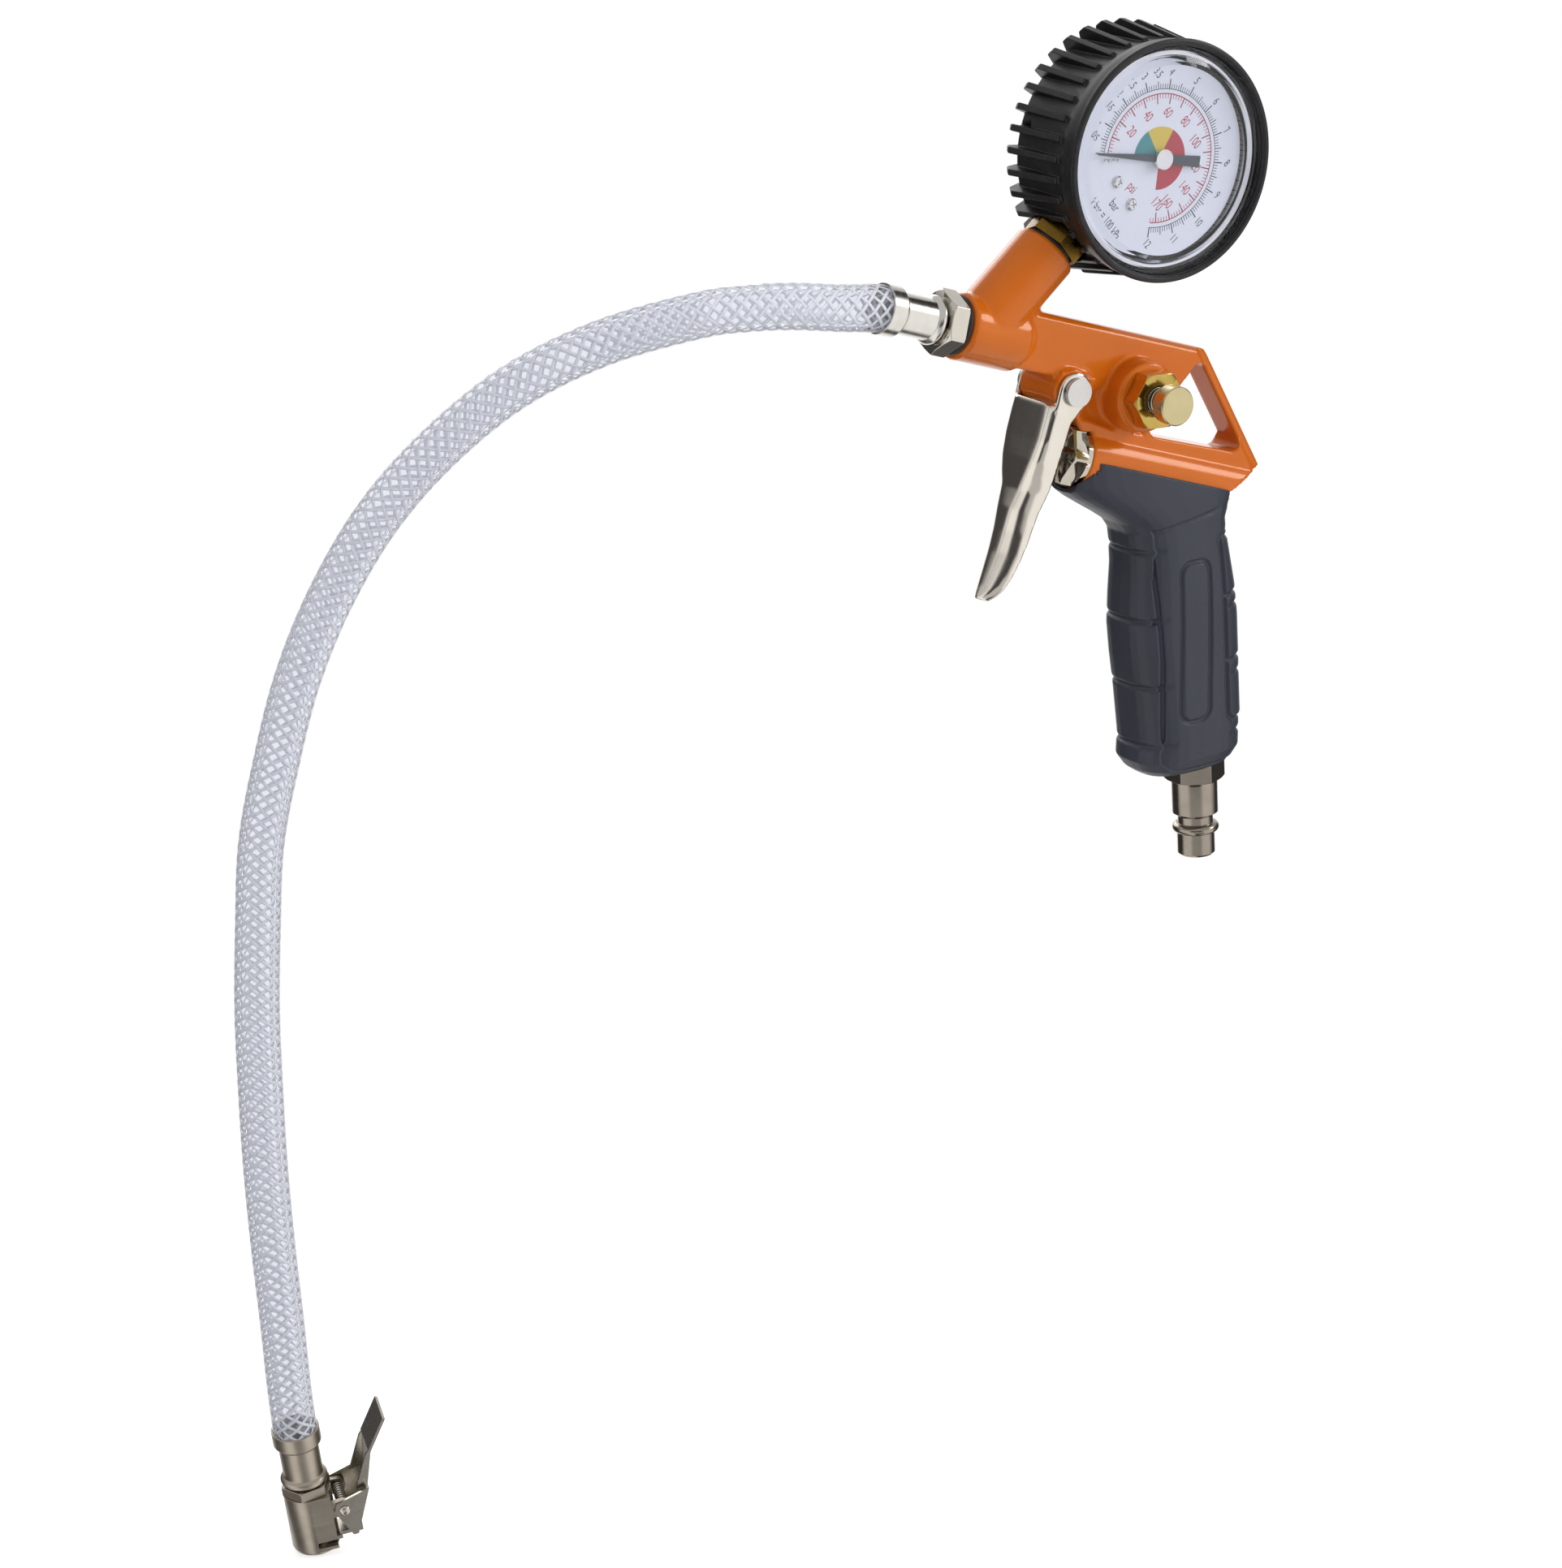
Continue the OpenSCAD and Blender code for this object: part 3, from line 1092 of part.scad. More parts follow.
module case_screws() {
  color("#b8b8ba") at_gauge() for (z = case_screw_at) translate([0, -case_back + seat_gap / 2, z])
    rotate([90, 0, 0]) {
    difference() {
      translate([0, 0, -1]) cylinder(d = 3.8, h = 1);
      for (a = [0, 90]) rotate([0, 0, a]) translate([-1.2, -0.2, -1 - eps]) cube([2.4, 0.4, 0.5]);
    }
    cylinder(d = case_screw_d, h = -case_back - socket_w / 2 + 2.5);
  }
}

boot_front = 17.5;                       // boot's lip, forward of the stem's axis
boot_back = -10.6;
boot_in_d = case_d + 0.2;
rib_t = 1.7;
lens_gap = 0.2;                          // lens to boot
rib_front = 9.4;
boot_d = boot_in_d + 2 * boot_wall;
boot_rib_d = boot_d + 2 * rib_height;
boot_flange_d = lens_d + 2 * flange_wall;

module gauge_boot() {
  color("#1e1f22") difference() {
    union() {
      ring_about_dial([
        [boot_in_d / 2, case_back - 0.1], [case_d / 2 - 5, case_back - 0.1], [case_d / 2 - 5, boot_back],
        [boot_d / 2 - 2.4, boot_back], [boot_d / 2, boot_back + 2], [boot_d / 2 + 0.4, rib_front + 0.6],
        [boot_flange_d / 2 - 0.5, rib_front + 3.4], [boot_flange_d / 2 - 0.4, boot_front - 1.8],
        [boot_flange_d / 2, boot_front - 1.4], [boot_flange_d / 2, boot_front - 0.5],
        [boot_flange_d / 2 - 0.5, boot_front], [lens_d / 2 + 0.9, boot_front],
        [lens_d / 2 + 0.5, boot_front - 0.9], [lens_d / 2 + lens_gap, boot_front - 0.9],
        [lens_d / 2 + lens_gap, lens_back - lens_gap], [boot_in_d / 2, lens_back - lens_gap]
      ]);
      at_dial() for (i = [0 : boot_ribs - 1]) rotate([0, 0, 360 * (i + 0.5) / boot_ribs])
        rotate([90, 0, 0])
        linear_extrude(rib_t, center = true) polygon([
          [boot_d / 2 - 1, boot_back + 1.4], [boot_d / 2 - 1, rib_front + 0.3],
            [boot_d / 2 + 1.2, rib_front],
          [boot_rib_d / 2, boot_back + 2.6], [boot_rib_d / 2 - 1.6, boot_back],
            [boot_d / 2 - 2, boot_back]
        ]);
    }
    // room for the stem and its hexagon
    at_gauge() translate([0, 0, -far]) cylinder(d = stem_hex / cos(30) + 0.8, h = far);
  }
}

lens_back = case_rim - 3.4;
lens_front = boot_front - 0.6;
module gauge_lens() {
  color([0.85, 0.9, 1, 0.35]) ring_about_dial([
    [0, lens_front - 1.6], [lens_d / 2 - 4.6, lens_front - 1.6], [case_d / 2 - 1.4, case_rim + seat_gap],
    [case_d / 2 + 0.1, case_rim + seat_gap], [case_d / 2 + 0.1, lens_back], [lens_d / 2, lens_back],
    [lens_d / 2, lens_front - 1.4], [lens_d / 2 - 1.2, lens_front - 0.7],
      [lens_d / 2 - 2.2, lens_front - 0.5],
    [lens_d / 2 - 3.6, lens_front], [0, lens_front]
  ]);
}

screw_r = 13.9;                           // dial screws from the dial's centre
screw_turn = 16;                        // half angle between the dial screws
module turned_dial() { at_dial() rotate([0, 0, dial_turn]) children(); }

module gauge_dial() {
  color("#f2f3f6") turned_dial() translate([0, 0, dial_y]) difference() {
    cylinder(d = dial_d, h = dial_t, $fn = 96);
    translate([0, 0, -1]) cylinder(d = 3.4, h = 3);
    for (s = [-1, 1]) rotate([0, 0, -90 + s * screw_turn]) translate([screw_r, 0, -1])
      cylinder(d = 2.2, h = 3);
    for (r = stop_r) rotate([0, 0, stop_angle]) translate([r, 0, -1]) cylinder(d = 0.7, h = 3);
  }
}

module dial_screws() {
  color("#c6c6c9") turned_dial() for (s = [-1, 1]) rotate([0, 0, -90 + s * screw_turn])
    translate([screw_r, 0, dial_y + dial_t]) difference() {
      union() {
        translate([0, 0, seat_gap / 2]) rotate_extrude()
          polygon([[0, 0], [1.6, 0], [1.6, 0.4], [1.2, 0.85], [0, 1]]);
        translate([0, 0, -screw_len]) cylinder(d = 2, h = screw_len + 0.2);
      }
      for (a = [45, 135]) rotate([0, 0, a]) translate([-0.9, -0.18, 0.5]) cube([1.8, 0.36, 1]);
    }
}
screw_len = 2.6;
dial_lug_t = screw_len - dial_t;

stop_r = [14.3, 17];
stop_angle = 90 + pointer_sweep / 2 + 5;  // stops lie just past the pointer's zero
module stop_pins() {
  color("#c9c9cc") turned_dial() rotate([0, 0, stop_angle]) for (r = stop_r)
    translate([r, 0, dial_y - 0.6]) { cylinder(d = 0.6, h = 2.6); translate([0, 0, 2.6])
      sphere(d = 0.8, $fn = 24); }
}

// ---------------------------------------------------------------- gauge movement
pinion_r = pinion_teeth * tooth_module / 2;
sector_r = pinion_r * gear_ratio;
gear_apart = pinion_r + sector_r;
plate_gap = 4;                           // between the movement's plates
back_plate_y = socket_w / 2 + seat_gap;  // back plate's rear face on the socket's front
mplate_t = 0.9;
front_plate_y = back_plate_y + mplate_t + plate_gap;
arbor_d = 1.2;
sector_tail = 4.2;                       // from the sector's arbor to the link's pin
sector_swing = pointer_sweep / gear_ratio;
tail_angle = 180;                        // sector's tail at mid swing, in the dial's plane
link_pin_d = 0.9;
pillar_at = [[-8, -7], [6.4, -16], [7.5, 4]];
fix_screws = [[-2.6, -15.6], [2.6, -15.6]];

// Teeth of a gear as one outline: straight flanks, thinner than half the pitch for backlash
module teeth(r, count, from, to, turn) {
  pitch = 360 / count;
  for (i = [from : to]) rotate([0, 0, turn + i * pitch]) polygon([
    [r - 1.3 * tooth_module, -0.55 * tooth_module], [r, -0.5 * tooth_module],
      [r + 0.8 * tooth_module, -0.22 * tooth_module],
    [r + 0.8 * tooth_module, 0.22 * tooth_module], [r, 0.5 * tooth_module],
      [r - 1.3 * tooth_module, 0.55 * tooth_module]
  ]);
}

module movement_plate_shape() {
  polygon([
    [-9.8, -4.5], [-9.8, -9], [-5, -18], [8.2, -18], [8.2, -12], [9.4, 2.4], [9.4, 5.8], [5, 5.8], [-3, 3]
  ]);
}

module movement_holes(d) {
  circle(d = arbor_d + 2 * run_fit);
  translate([0, -gear_apart]) circle(d = arbor_d + 2 * run_fit);
  for (p = pillar_at) translate(p) circle(d = d);
}

module back_plate() {
  color("#c19a4a") at_dial() translate([0, 0, back_plate_y]) difference() {
    linear_extrude(mplate_t) difference() {
      movement_plate_shape();
      movement_holes(1.7);
    }
    for (p = fix_screws) translate([p[0], p[1], -1]) cylinder(d = 1.7, h = 3);
  }
}

module movement_screws() {
  color("#bdbdbf") at_dial() for (p = fix_screws)
    translate([p[0], p[1], back_plate_y + mplate_t + seat_gap / 4]) {
    cylinder(d = 2.5, h = 0.6);
    translate([0, 0, -mplate_t - 2.4]) cylinder(d = 1.5, h = mplate_t + 2.5);
  }
}

module front_plate() {
  color("#c8a352") at_dial() translate([0, 0, front_plate_y]) difference() {
    union() {
      linear_extrude(mplate_t) difference() {
        movement_plate_shape();
        movement_holes(1.7);
      }
      // two lugs that the dial's screws reach
      rotate([0, 0, dial_turn]) for (s = [-1, 1]) rotate([0, 0, -90 + s * screw_turn])
        translate([screw_r, 0, 0]) cylinder(d = 4, h = dial_y - seat_gap / 2 - front_plate_y);
    }
    rotate([0, 0, dial_turn]) for (s = [-1, 1]) rotate([0, 0, -90 + s * screw_turn])
      translate([screw_r, 0, -1]) cylinder(d = 2.1, h = far);
    for (p = pillar_at) translate([p[0], p[1], mplate_t]) cylinder(d = 3.4, h = far);
  }
}

module plate_pillars() {
  color("#b98f3e") at_dial() for (p = pillar_at)
    translate([p[0], p[1], back_plate_y + mplate_t + seat_gap / 2])
    tube_ring(2.8, 1.6, plate_gap - seat_gap);
}

module plate_screws() {
  color("#bdbdbf") at_dial() for (p = pillar_at) translate([p[0], p[1], back_plate_y - seat_gap / 4]) {
    cylinder(d = 1.4, h = front_plate_y + mplate_t - back_plate_y + seat_gap / 2);
    translate([0, 0, front_plate_y + mplate_t - back_plate_y + seat_gap / 2])
      cylinder(d = 2.6, h = dial_y - front_plate_y - mplate_t - 2 * seat_gap);
  }
}

gear_z = back_plate_y + mplate_t + 1.2;
gear_t = 1;
module sector_gear() {
  half_teeth = ceil(sector_swing / 2 / (360 / (pinion_teeth * gear_ratio))) + 2;
  span = half_teeth * 360 / (pinion_teeth * gear_ratio) + 1.2;
  color("#d0ab58") at_dial() translate([0, -gear_apart, 0]) {
    // at rest the sector stands at one end of its swing
    rotate([0, 0, -sector_swing / 2]) {
      translate([0, 0, gear_z]) linear_extrude(gear_t) {
        teeth(sector_r, pinion_teeth * gear_ratio, -half_teeth, half_teeth, 90);
        difference() {
          intersection() {
            circle(r = sector_r - 1.2 * tooth_module);
            polygon([[0, -0.5], [far * sin(span), far * cos(span)], [-far * sin(span), far * cos(span)]]);
          }
          intersection() {
            circle(r = sector_r - 2);
            polygon([[0, 3], [far * sin(span - 6), far * cos(span - 6)],
              [-far * sin(span - 6), far * cos(span - 6)]]);
          }
        }
        circle(r = 1.6);
        rotate([0, 0, tail_angle]) translate([0, -0.9]) square([sector_tail + 0.9, 1.8]);
      }
      rotate([0, 0, tail_angle]) translate([sector_tail, 0, gear_z])
        cylinder(d = link_pin_d, h = gear_t + 1.4);
    }
    translate([0, 0, back_plate_y]) cylinder(d = arbor_d, h = front_plate_y + mplate_t - back_plate_y);
  }
}

module pinion() {
  color("#b9b9bc") at_dial() {
    translate([0, 0, back_plate_y]) cylinder(d = arbor_d, h = pointer_z + pointer_t + 0.6 - back_plate_y);
    translate([0, 0, gear_z - 0.2]) linear_extrude(gear_t + 0.4) {
      circle(r = pinion_r - 1.25 * tooth_module);
      teeth(pinion_r, pinion_teeth, 0, pinion_teeth - 1, pinion_turn);
    }
  }
}
// A gap of the pinion faces the sector's middle tooth line at rest
pinion_turn = -90 + 180 / pinion_teeth + gear_ratio * sector_swing / 2;

hair_turns = 3;
module hairspring() {
  steps = hair_turns * 16;
  points_out = [for (i = [0 : steps]) let (a = 360 * i / 16, r = 1.1 + 2.6 * i / steps) [r * cos(a),
    r * sin(a)]];
  points_in = [for (i = [steps : -1 : 0]) let (a = 360 * i / 16, r = 0.95 + 2.6 * i / steps) [r * cos(a),
    r * sin(a)]];
  color("#8f7a45") at_dial() translate([0, 0, gear_z + gear_t + 0.5]) linear_extrude(0.6)
    polygon(concat(points_out, points_in));
}

pointer_z = dial_y + dial_t + 1.2;
pointer_t = 0.3;
hub_d = 5.2;
hub_neck_d = 2.4;
module pointer() {
  // at rest the pointer is at zero
  color("#3a3f44") turned_dial() rotate([0, 0, pointer_sweep / 2]) translate([0, 0, pointer_z])
    difference() {
    linear_extrude(pointer_t) polygon([
      [-0.25, pointer_len], [0.25, pointer_len], [1, 2.4], [2, 1.4], [2, -1.4], [1.2, -2.6], [1.5, -12],
      [-1.5, -12], [-1.2, -2.6], [-2, -1.4], [-2, 1.4], [-1, 2.4]
    ]);
    translate([0, 0, -1]) cylinder(d = hub_neck_d + 0.02, h = 3);
  }
}

module pointer_hub() {
  color("#cfcfd2") at_dial() translate([0, 0, pointer_z]) difference() {
    union() {
      translate([0, 0, pointer_t + 0.02]) cylinder(d = hub_d, h = 0.9);
      translate([0, 0, -0.6]) cylinder(d = hub_neck_d, h = 1);
    }
    translate([0, 0, -1]) cylinder(d = arbor_d + 0.1, h = 1 + pointer_t + 0.65);
  }
}

// The flattened pressure tube, bent round the movement from the socket to its free tip
tube_h = 2.6;                            // thickness in the plane of the bend
tube_w = 7;                              // width across the bend
tube_wall = 0.4;
tube_foot = -10;                         // start beside the socket's middle, in degrees
tube_sweep = 236;
module bourdon_tube() {
  color("#b08a45") at_dial() rotate([0, 0, -90 + tube_foot]) mirror([0, 1, 0])
    rotate_extrude(angle = tube_sweep) translate([bourdon_r, 0]) difference() {
      square([tube_h, tube_w], center = true);
      square([tube_h - 2 * tube_wall, tube_w - 2 * tube_wall], center = true);
    }
}

tip_turn = -90 + tube_foot - tube_sweep;  // way to the tube's free end
link_z = gear_z + gear_t + 0.4;
link_t = 0.6;
tip_len = 3.2;                           // length of the block on the tube's free end
module bourdon_tip() {
  color("#c29a48") at_dial() rotate([0, 0, tip_turn]) {
    translate([bourdon_r - tube_h / 2, -tip_len - seat_gap, -tube_w / 2])
      cube([tube_h, tip_len, tube_w / 2 + link_z - 0.02]);
    translate([bourdon_r, -tip_len / 2 - seat_gap, link_z - 1]) cylinder(d = link_pin_d, h = link_t + 1.3);
  }
}

// Ends of the link: the sector's tail pin and the tip's ear, in the dial's plane
tail_pin = [
  sector_tail * cos(tail_angle - sector_swing / 2),
    -gear_apart + sector_tail * sin(tail_angle - sector_swing / 2)
];
tip_pin = [
  bourdon_r * cos(tip_turn) + (tip_len / 2 + seat_gap) * sin(tip_turn),
  bourdon_r * sin(tip_turn) - (tip_len / 2 + seat_gap) * cos(tip_turn)
];
module bourdon_link() {
  way = unit(tip_pin - tail_pin);
  turn = atan2(way[1], way[0]);
  reach = norm(tip_pin - tail_pin);
  color("#d2ae5c") at_dial() translate([tail_pin[0], tail_pin[1], link_z]) rotate([0, 0, turn])
    difference() {
    union() {
      translate([0, -0.7, 0]) cube([reach, 1.4, link_t]);
      cylinder(r = 1.5, h = link_t);
      translate([reach, 0, 0]) cylinder(r = 1, h = link_t);
    }
    translate([0, 0, -1]) cylinder(d = link_pin_d + 0.6, h = 3);
    translate([reach, 0, -1]) cylinder(d = link_pin_d + 0.04, h = 3);
  }
}

body_casting();
grip_sleeve();
inlet_plug();
inlet_washer();
trigger_lever();
trigger_pin();
trigger_clip();
valve_nut();
valve_nut_seal();
stem_seal();
valve_stem();
valve_poppet();
poppet_seal();
valve_spring();
bleed_nut();
bleed_button();
bleed_spring();
bleed_seal();
bleed_poppet();
hose_fitting();
fitting_seal();
gun_ferrule();
hose();
chuck_ferrule();
chuck_tail();
chuck_body();
chuck_seal();
chuck_depressor();
chuck_rivet();
clip_lever();
clip_jaw();
clip_spring();
gauge_socket();
gauge_seal();
gauge_case();
case_screws();
gauge_boot();
gauge_lens();
gauge_dial();
dial_screws();
stop_pins();
back_plate();
front_plate();
plate_pillars();
plate_screws();
movement_screws();
sector_gear();
pinion();
hairspring();
pointer();
pointer_hub();
bourdon_tube();
bourdon_tip();
bourdon_link();
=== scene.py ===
"""Tyre inflator with gauge: finishes, moulded forms, dial print, springs and braided hose on the frame."""
import math

import bmesh
import bpy
import numpy as np
from mathutils import Matrix, Vector


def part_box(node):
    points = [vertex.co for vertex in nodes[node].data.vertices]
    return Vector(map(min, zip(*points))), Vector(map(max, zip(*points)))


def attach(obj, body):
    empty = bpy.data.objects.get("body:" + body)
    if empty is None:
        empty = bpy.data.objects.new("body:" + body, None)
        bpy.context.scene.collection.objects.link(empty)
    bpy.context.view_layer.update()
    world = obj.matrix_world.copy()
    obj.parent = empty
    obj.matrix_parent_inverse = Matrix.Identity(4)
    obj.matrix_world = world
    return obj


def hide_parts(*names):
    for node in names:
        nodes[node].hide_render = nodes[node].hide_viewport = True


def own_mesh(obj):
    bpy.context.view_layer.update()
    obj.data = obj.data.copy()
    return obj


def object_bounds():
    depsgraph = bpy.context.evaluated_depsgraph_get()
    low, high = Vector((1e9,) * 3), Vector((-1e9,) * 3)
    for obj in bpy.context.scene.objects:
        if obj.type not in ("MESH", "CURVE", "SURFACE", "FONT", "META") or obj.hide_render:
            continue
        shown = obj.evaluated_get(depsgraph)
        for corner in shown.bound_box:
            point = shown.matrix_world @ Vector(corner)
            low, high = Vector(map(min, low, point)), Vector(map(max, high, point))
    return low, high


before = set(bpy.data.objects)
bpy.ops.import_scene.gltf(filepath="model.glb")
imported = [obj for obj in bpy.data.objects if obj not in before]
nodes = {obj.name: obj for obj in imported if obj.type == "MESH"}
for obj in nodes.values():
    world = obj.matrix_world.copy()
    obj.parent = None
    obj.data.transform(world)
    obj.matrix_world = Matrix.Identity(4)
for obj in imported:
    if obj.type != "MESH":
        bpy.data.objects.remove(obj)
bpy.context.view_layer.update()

MM = 0.001

# ---------------------------------------------------------------- places on the tool, in mm and degrees
BARREL_LEAN = 20.0
MUZZLE_AHEAD = 71.0
MUZZLE_HEIGHT = 152.2
STUB_BACK = 7.0
STUB_ANGLE = 57.5
GAUGE_REACH = 62.8
BLEED_BACK = 56.5
BLEED_DROP = 6.8
TUBE_FRONT = 47.0
TUBE_DROP = 26.0
CHUCK_RIM = (-209.0, 134.5, -154.5)
CHUCK_TILT = 14.0
CHUCK_AZIMUTH = 218.0
CLIP_AZIMUTH = -21.0
CLIP_RIVET = (8.6, 0.0, -25.7)


def moved(x, y, z):
    """Shift by so many millimetres."""
    return Matrix.Translation((x * MM, y * MM, z * MM))


def turned(axis, degrees):
    """Turn about X, Y or Z."""
    return Matrix.Rotation(math.radians(degrees), 4, axis)


# frames of the tool's sub-assemblies, each with its own axes
barrel = moved(-MUZZLE_AHEAD, 0, MUZZLE_HEIGHT) @ turned("Y", BARREL_LEAN)
muzzle = barrel @ turned("Y", -90)
stub = barrel @ moved(STUB_BACK, 0, 0) @ turned("Y", 90 - STUB_ANGLE)
gauge = stub @ moved(0, 0, GAUGE_REACH)
dial = gauge @ turned("X", 90)
valve = barrel @ moved(TUBE_FRONT, 0, -TUBE_DROP) @ turned("Y", 90)
bleed = barrel @ moved(BLEED_BACK, 0, -BLEED_DROP) @ turned("X", 90)
chuck = (moved(*CHUCK_RIM) @ turned("Z", CHUCK_AZIMUTH) @ turned("Y", CHUCK_TILT)
         @ turned("Z", CLIP_AZIMUTH - CHUCK_AZIMUTH))
rivet = chuck @ moved(*CLIP_RIVET) @ turned("X", 90)


# ---------------------------------------------------------------- camera
CAMERA_TURN = 33.2
CAMERA_RISE = 17.6
CAMERA_ROLL = 2.7
FOCAL_PX = 8300.0
PICTURE_PX = (1924.0, 1932.0)
AIM = (0.0, 0.0, -4.0)
AIM_PX = (1473.6, 1053.0)
AIM_DEPTH = 1781.1
SENSOR_MM = 36.0
NEAREST, FURTHEST = 0.05, 20.0


def make_camera():
    """Camera at the tool's three-quarter view, from its dial side and a little above."""
    turn, rise, roll = (math.radians(a) for a in (CAMERA_TURN, CAMERA_RISE, CAMERA_ROLL))
    back = Vector((-math.sin(turn) * math.cos(rise), -math.cos(turn) * math.cos(rise), math.sin(rise)))
    level = Vector((math.cos(turn), -math.sin(turn), 0))
    rising = back.cross(level)
    right = math.cos(roll) * level - math.sin(roll) * rising
    up = math.sin(roll) * level + math.cos(roll) * rising
    width, height = PICTURE_PX
    per_px = AIM_DEPTH * MM / FOCAL_PX
    place = Vector(AIM) * MM + AIM_DEPTH * MM * back
    place = place - per_px * (AIM_PX[0] - width / 2) * right + per_px * (AIM_PX[1] - height / 2) * up
    data = bpy.data.cameras.new("camera")
    data.lens = SENSOR_MM * FOCAL_PX / height
    data.clip_start, data.clip_end = NEAREST, FURTHEST
    camera = bpy.data.objects.new("camera", data)
    bpy.context.scene.collection.objects.link(camera)
    camera.matrix_world = Matrix((
        (right.x, up.x, back.x, place.x), (right.y, up.y, back.y, place.y),
        (right.z, up.z, back.z, place.z), (0, 0, 0, 1)))
    bpy.context.scene.camera = camera


make_camera()


# ---------------------------------------------------------------- materials
# sockets of the Mix node that hold colours: its two tones, and what it gives out
COLOUR_A, COLOUR_B, COLOUR_OUT = 6, 7, 2


def linear(code):
    """Linear colour of an sRGB hex value."""
    parts = [int(code[i:i + 2], 16) / 255 for i in (1, 3, 5)]
    return tuple(c / 12.92 if c <= 0.04045 else ((c + 0.055) / 1.055) ** 2.4 for c in parts) + (1.0,)


def add(tree, kind, sockets=None, **settings):
    """Adds a node with its settings; a socket takes a number, a colour or another node's output."""
    made = tree.nodes.new("ShaderNode" + kind)
    for name, value in settings.items():
        setattr(made, name, value)
    for name, value in (sockets or {}).items():
        if isinstance(value, bpy.types.NodeSocket):
            tree.links.new(value, made.inputs[name])
        else:
            made.inputs[name].default_value = value
    return made


def blank(name, **values):
    """Material with one principled shader; values are the numbers and colours that stay the same all over."""
    material = bpy.data.materials.new(name)
    material.use_nodes = True
    tree = material.node_tree
    shader = tree.nodes["Principled BSDF"]
    for socket, value in values.items():
        shader.inputs[socket.replace("_", " ")].default_value = value
    return material, tree, shader, add(tree, "TexCoord").outputs["Object"]


def feed(tree, shader, tone, shine=None, bump=None):
    """Leads a mixed tone, a range of roughness and a bump to the shader."""
    tree.links.new(tone.outputs[COLOUR_OUT], shader.inputs["Base Color"])
    if shine:
        tree.links.new(shine.outputs["Result"], shader.inputs["Roughness"])
    if bump:
        tree.links.new(bump.outputs["Normal"], shader.inputs["Normal"])


def per_mm(size):
    """Texture scale at which one cell is this many millimetres."""
    return 1 / (size * MM)


def enamel_sprayed():
    """Gloss enamel sprayed and stoved on a zinc die casting: deep orange, clear gloss, faint orange peel,
    and a few dust nibs under the skin."""
    material, tree, shader, place = blank("orange_enamel_sprayed", Specular_IOR_Level=0.3,
                                          Specular_Tint=linear("#ffcf96"), Coat_Weight=0.35,
                                          Coat_Roughness=0.05)
    cloud = add(tree, "TexNoise", {"Vector": place, "Scale": per_mm(14), "Detail": 3.0})
    tone = add(tree, "Mix", {"Factor": cloud.outputs["Fac"], COLOUR_A: linear("#c35c0c"),
                             COLOUR_B: linear("#cb6814")}, data_type="RGBA")
    peel = add(tree, "TexNoise", {"Vector": place, "Scale": per_mm(1.7), "Detail": 1.0})
    shine = add(tree, "MapRange", {"Value": peel.outputs["Fac"], "To Min": 0.17, "To Max": 0.25})
    dust = add(tree, "TexVoronoi", {"Vector": place, "Scale": per_mm(7)})
    nib = add(tree, "MapRange", {"Value": dust.outputs["Distance"], "From Max": 0.05, "To Min": 1.0,
                                 "To Max": 0.0})
    sunk = add(tree, "Bump", {"Height": cloud.outputs["Fac"], "Distance": 0.3 * MM, "Strength": 0.12})
    skin = add(tree, "Bump", {"Height": peel.outputs["Fac"], "Distance": 0.01 * MM, "Strength": 0.2,
                              "Normal": sunk.outputs["Normal"]})
    specked = add(tree, "Bump", {"Height": nib.outputs["Result"], "Distance": 0.08 * MM, "Strength": 0.2,
                                 "Normal": skin.outputs["Normal"]})
    feed(tree, shader, tone, shine, specked)
    return material


def rubber_moulded():
    """Soft thermoplastic rubber from a spark-eroded mould: slate black with a fine matt grain, drawn a
    little coarser than the real 0.1 mm so that it shows, over slow flow marks."""
    material, tree, shader, place = blank("charcoal_rubber_moulded", Specular_IOR_Level=0.4)
    flow = add(tree, "TexNoise", {"Vector": place, "Scale": per_mm(22), "Detail": 3.0})
    tone = add(tree, "Mix", {"Factor": flow.outputs["Fac"], COLOUR_A: linear("#292b34"),
                             COLOUR_B: linear("#343742")}, data_type="RGBA")
    shine = add(tree, "MapRange", {"Value": flow.outputs["Fac"], "To Min": 0.4, "To Max": 0.52})
    spark = add(tree, "TexNoise", {"Vector": place, "Scale": per_mm(0.4), "Detail": 3.0, "Roughness": 0.6})
    rough = add(tree, "Bump", {"Height": spark.outputs["Fac"], "Distance": 0.04 * MM, "Strength": 0.3})
    feed(tree, shader, tone, shine, rough)
    return material


def rubber_boot():
    """Black nitrile cover pressed in a polished mould: darker and smoother than the grip, with faint dust."""
    material, tree, shader, place = blank("black_nitrile_moulded", Specular_IOR_Level=0.4)
    dust = add(tree, "TexNoise", {"Vector": place, "Scale": per_mm(3.5), "Detail": 5.0, "Roughness": 0.7})
    film = add(tree, "MapRange", {"Value": dust.outputs["Fac"], "From Min": 0.5, "From Max": 0.8})
    tone = add(tree, "Mix", {"Factor": film.outputs["Result"], COLOUR_A: linear("#121214"),
                             COLOUR_B: linear("#26262a")}, data_type="RGBA")
    shine = add(tree, "MapRange", {"Value": dust.outputs["Fac"], "To Min": 0.34, "To Max": 0.52})
    mould = add(tree, "TexNoise", {"Vector": place, "Scale": per_mm(0.8), "Detail": 2.0})
    rough = add(tree, "Bump", {"Height": mould.outputs["Fac"], "Distance": 0.02 * MM, "Strength": 0.25})
    feed(tree, shader, tone, shine, rough)
    return material


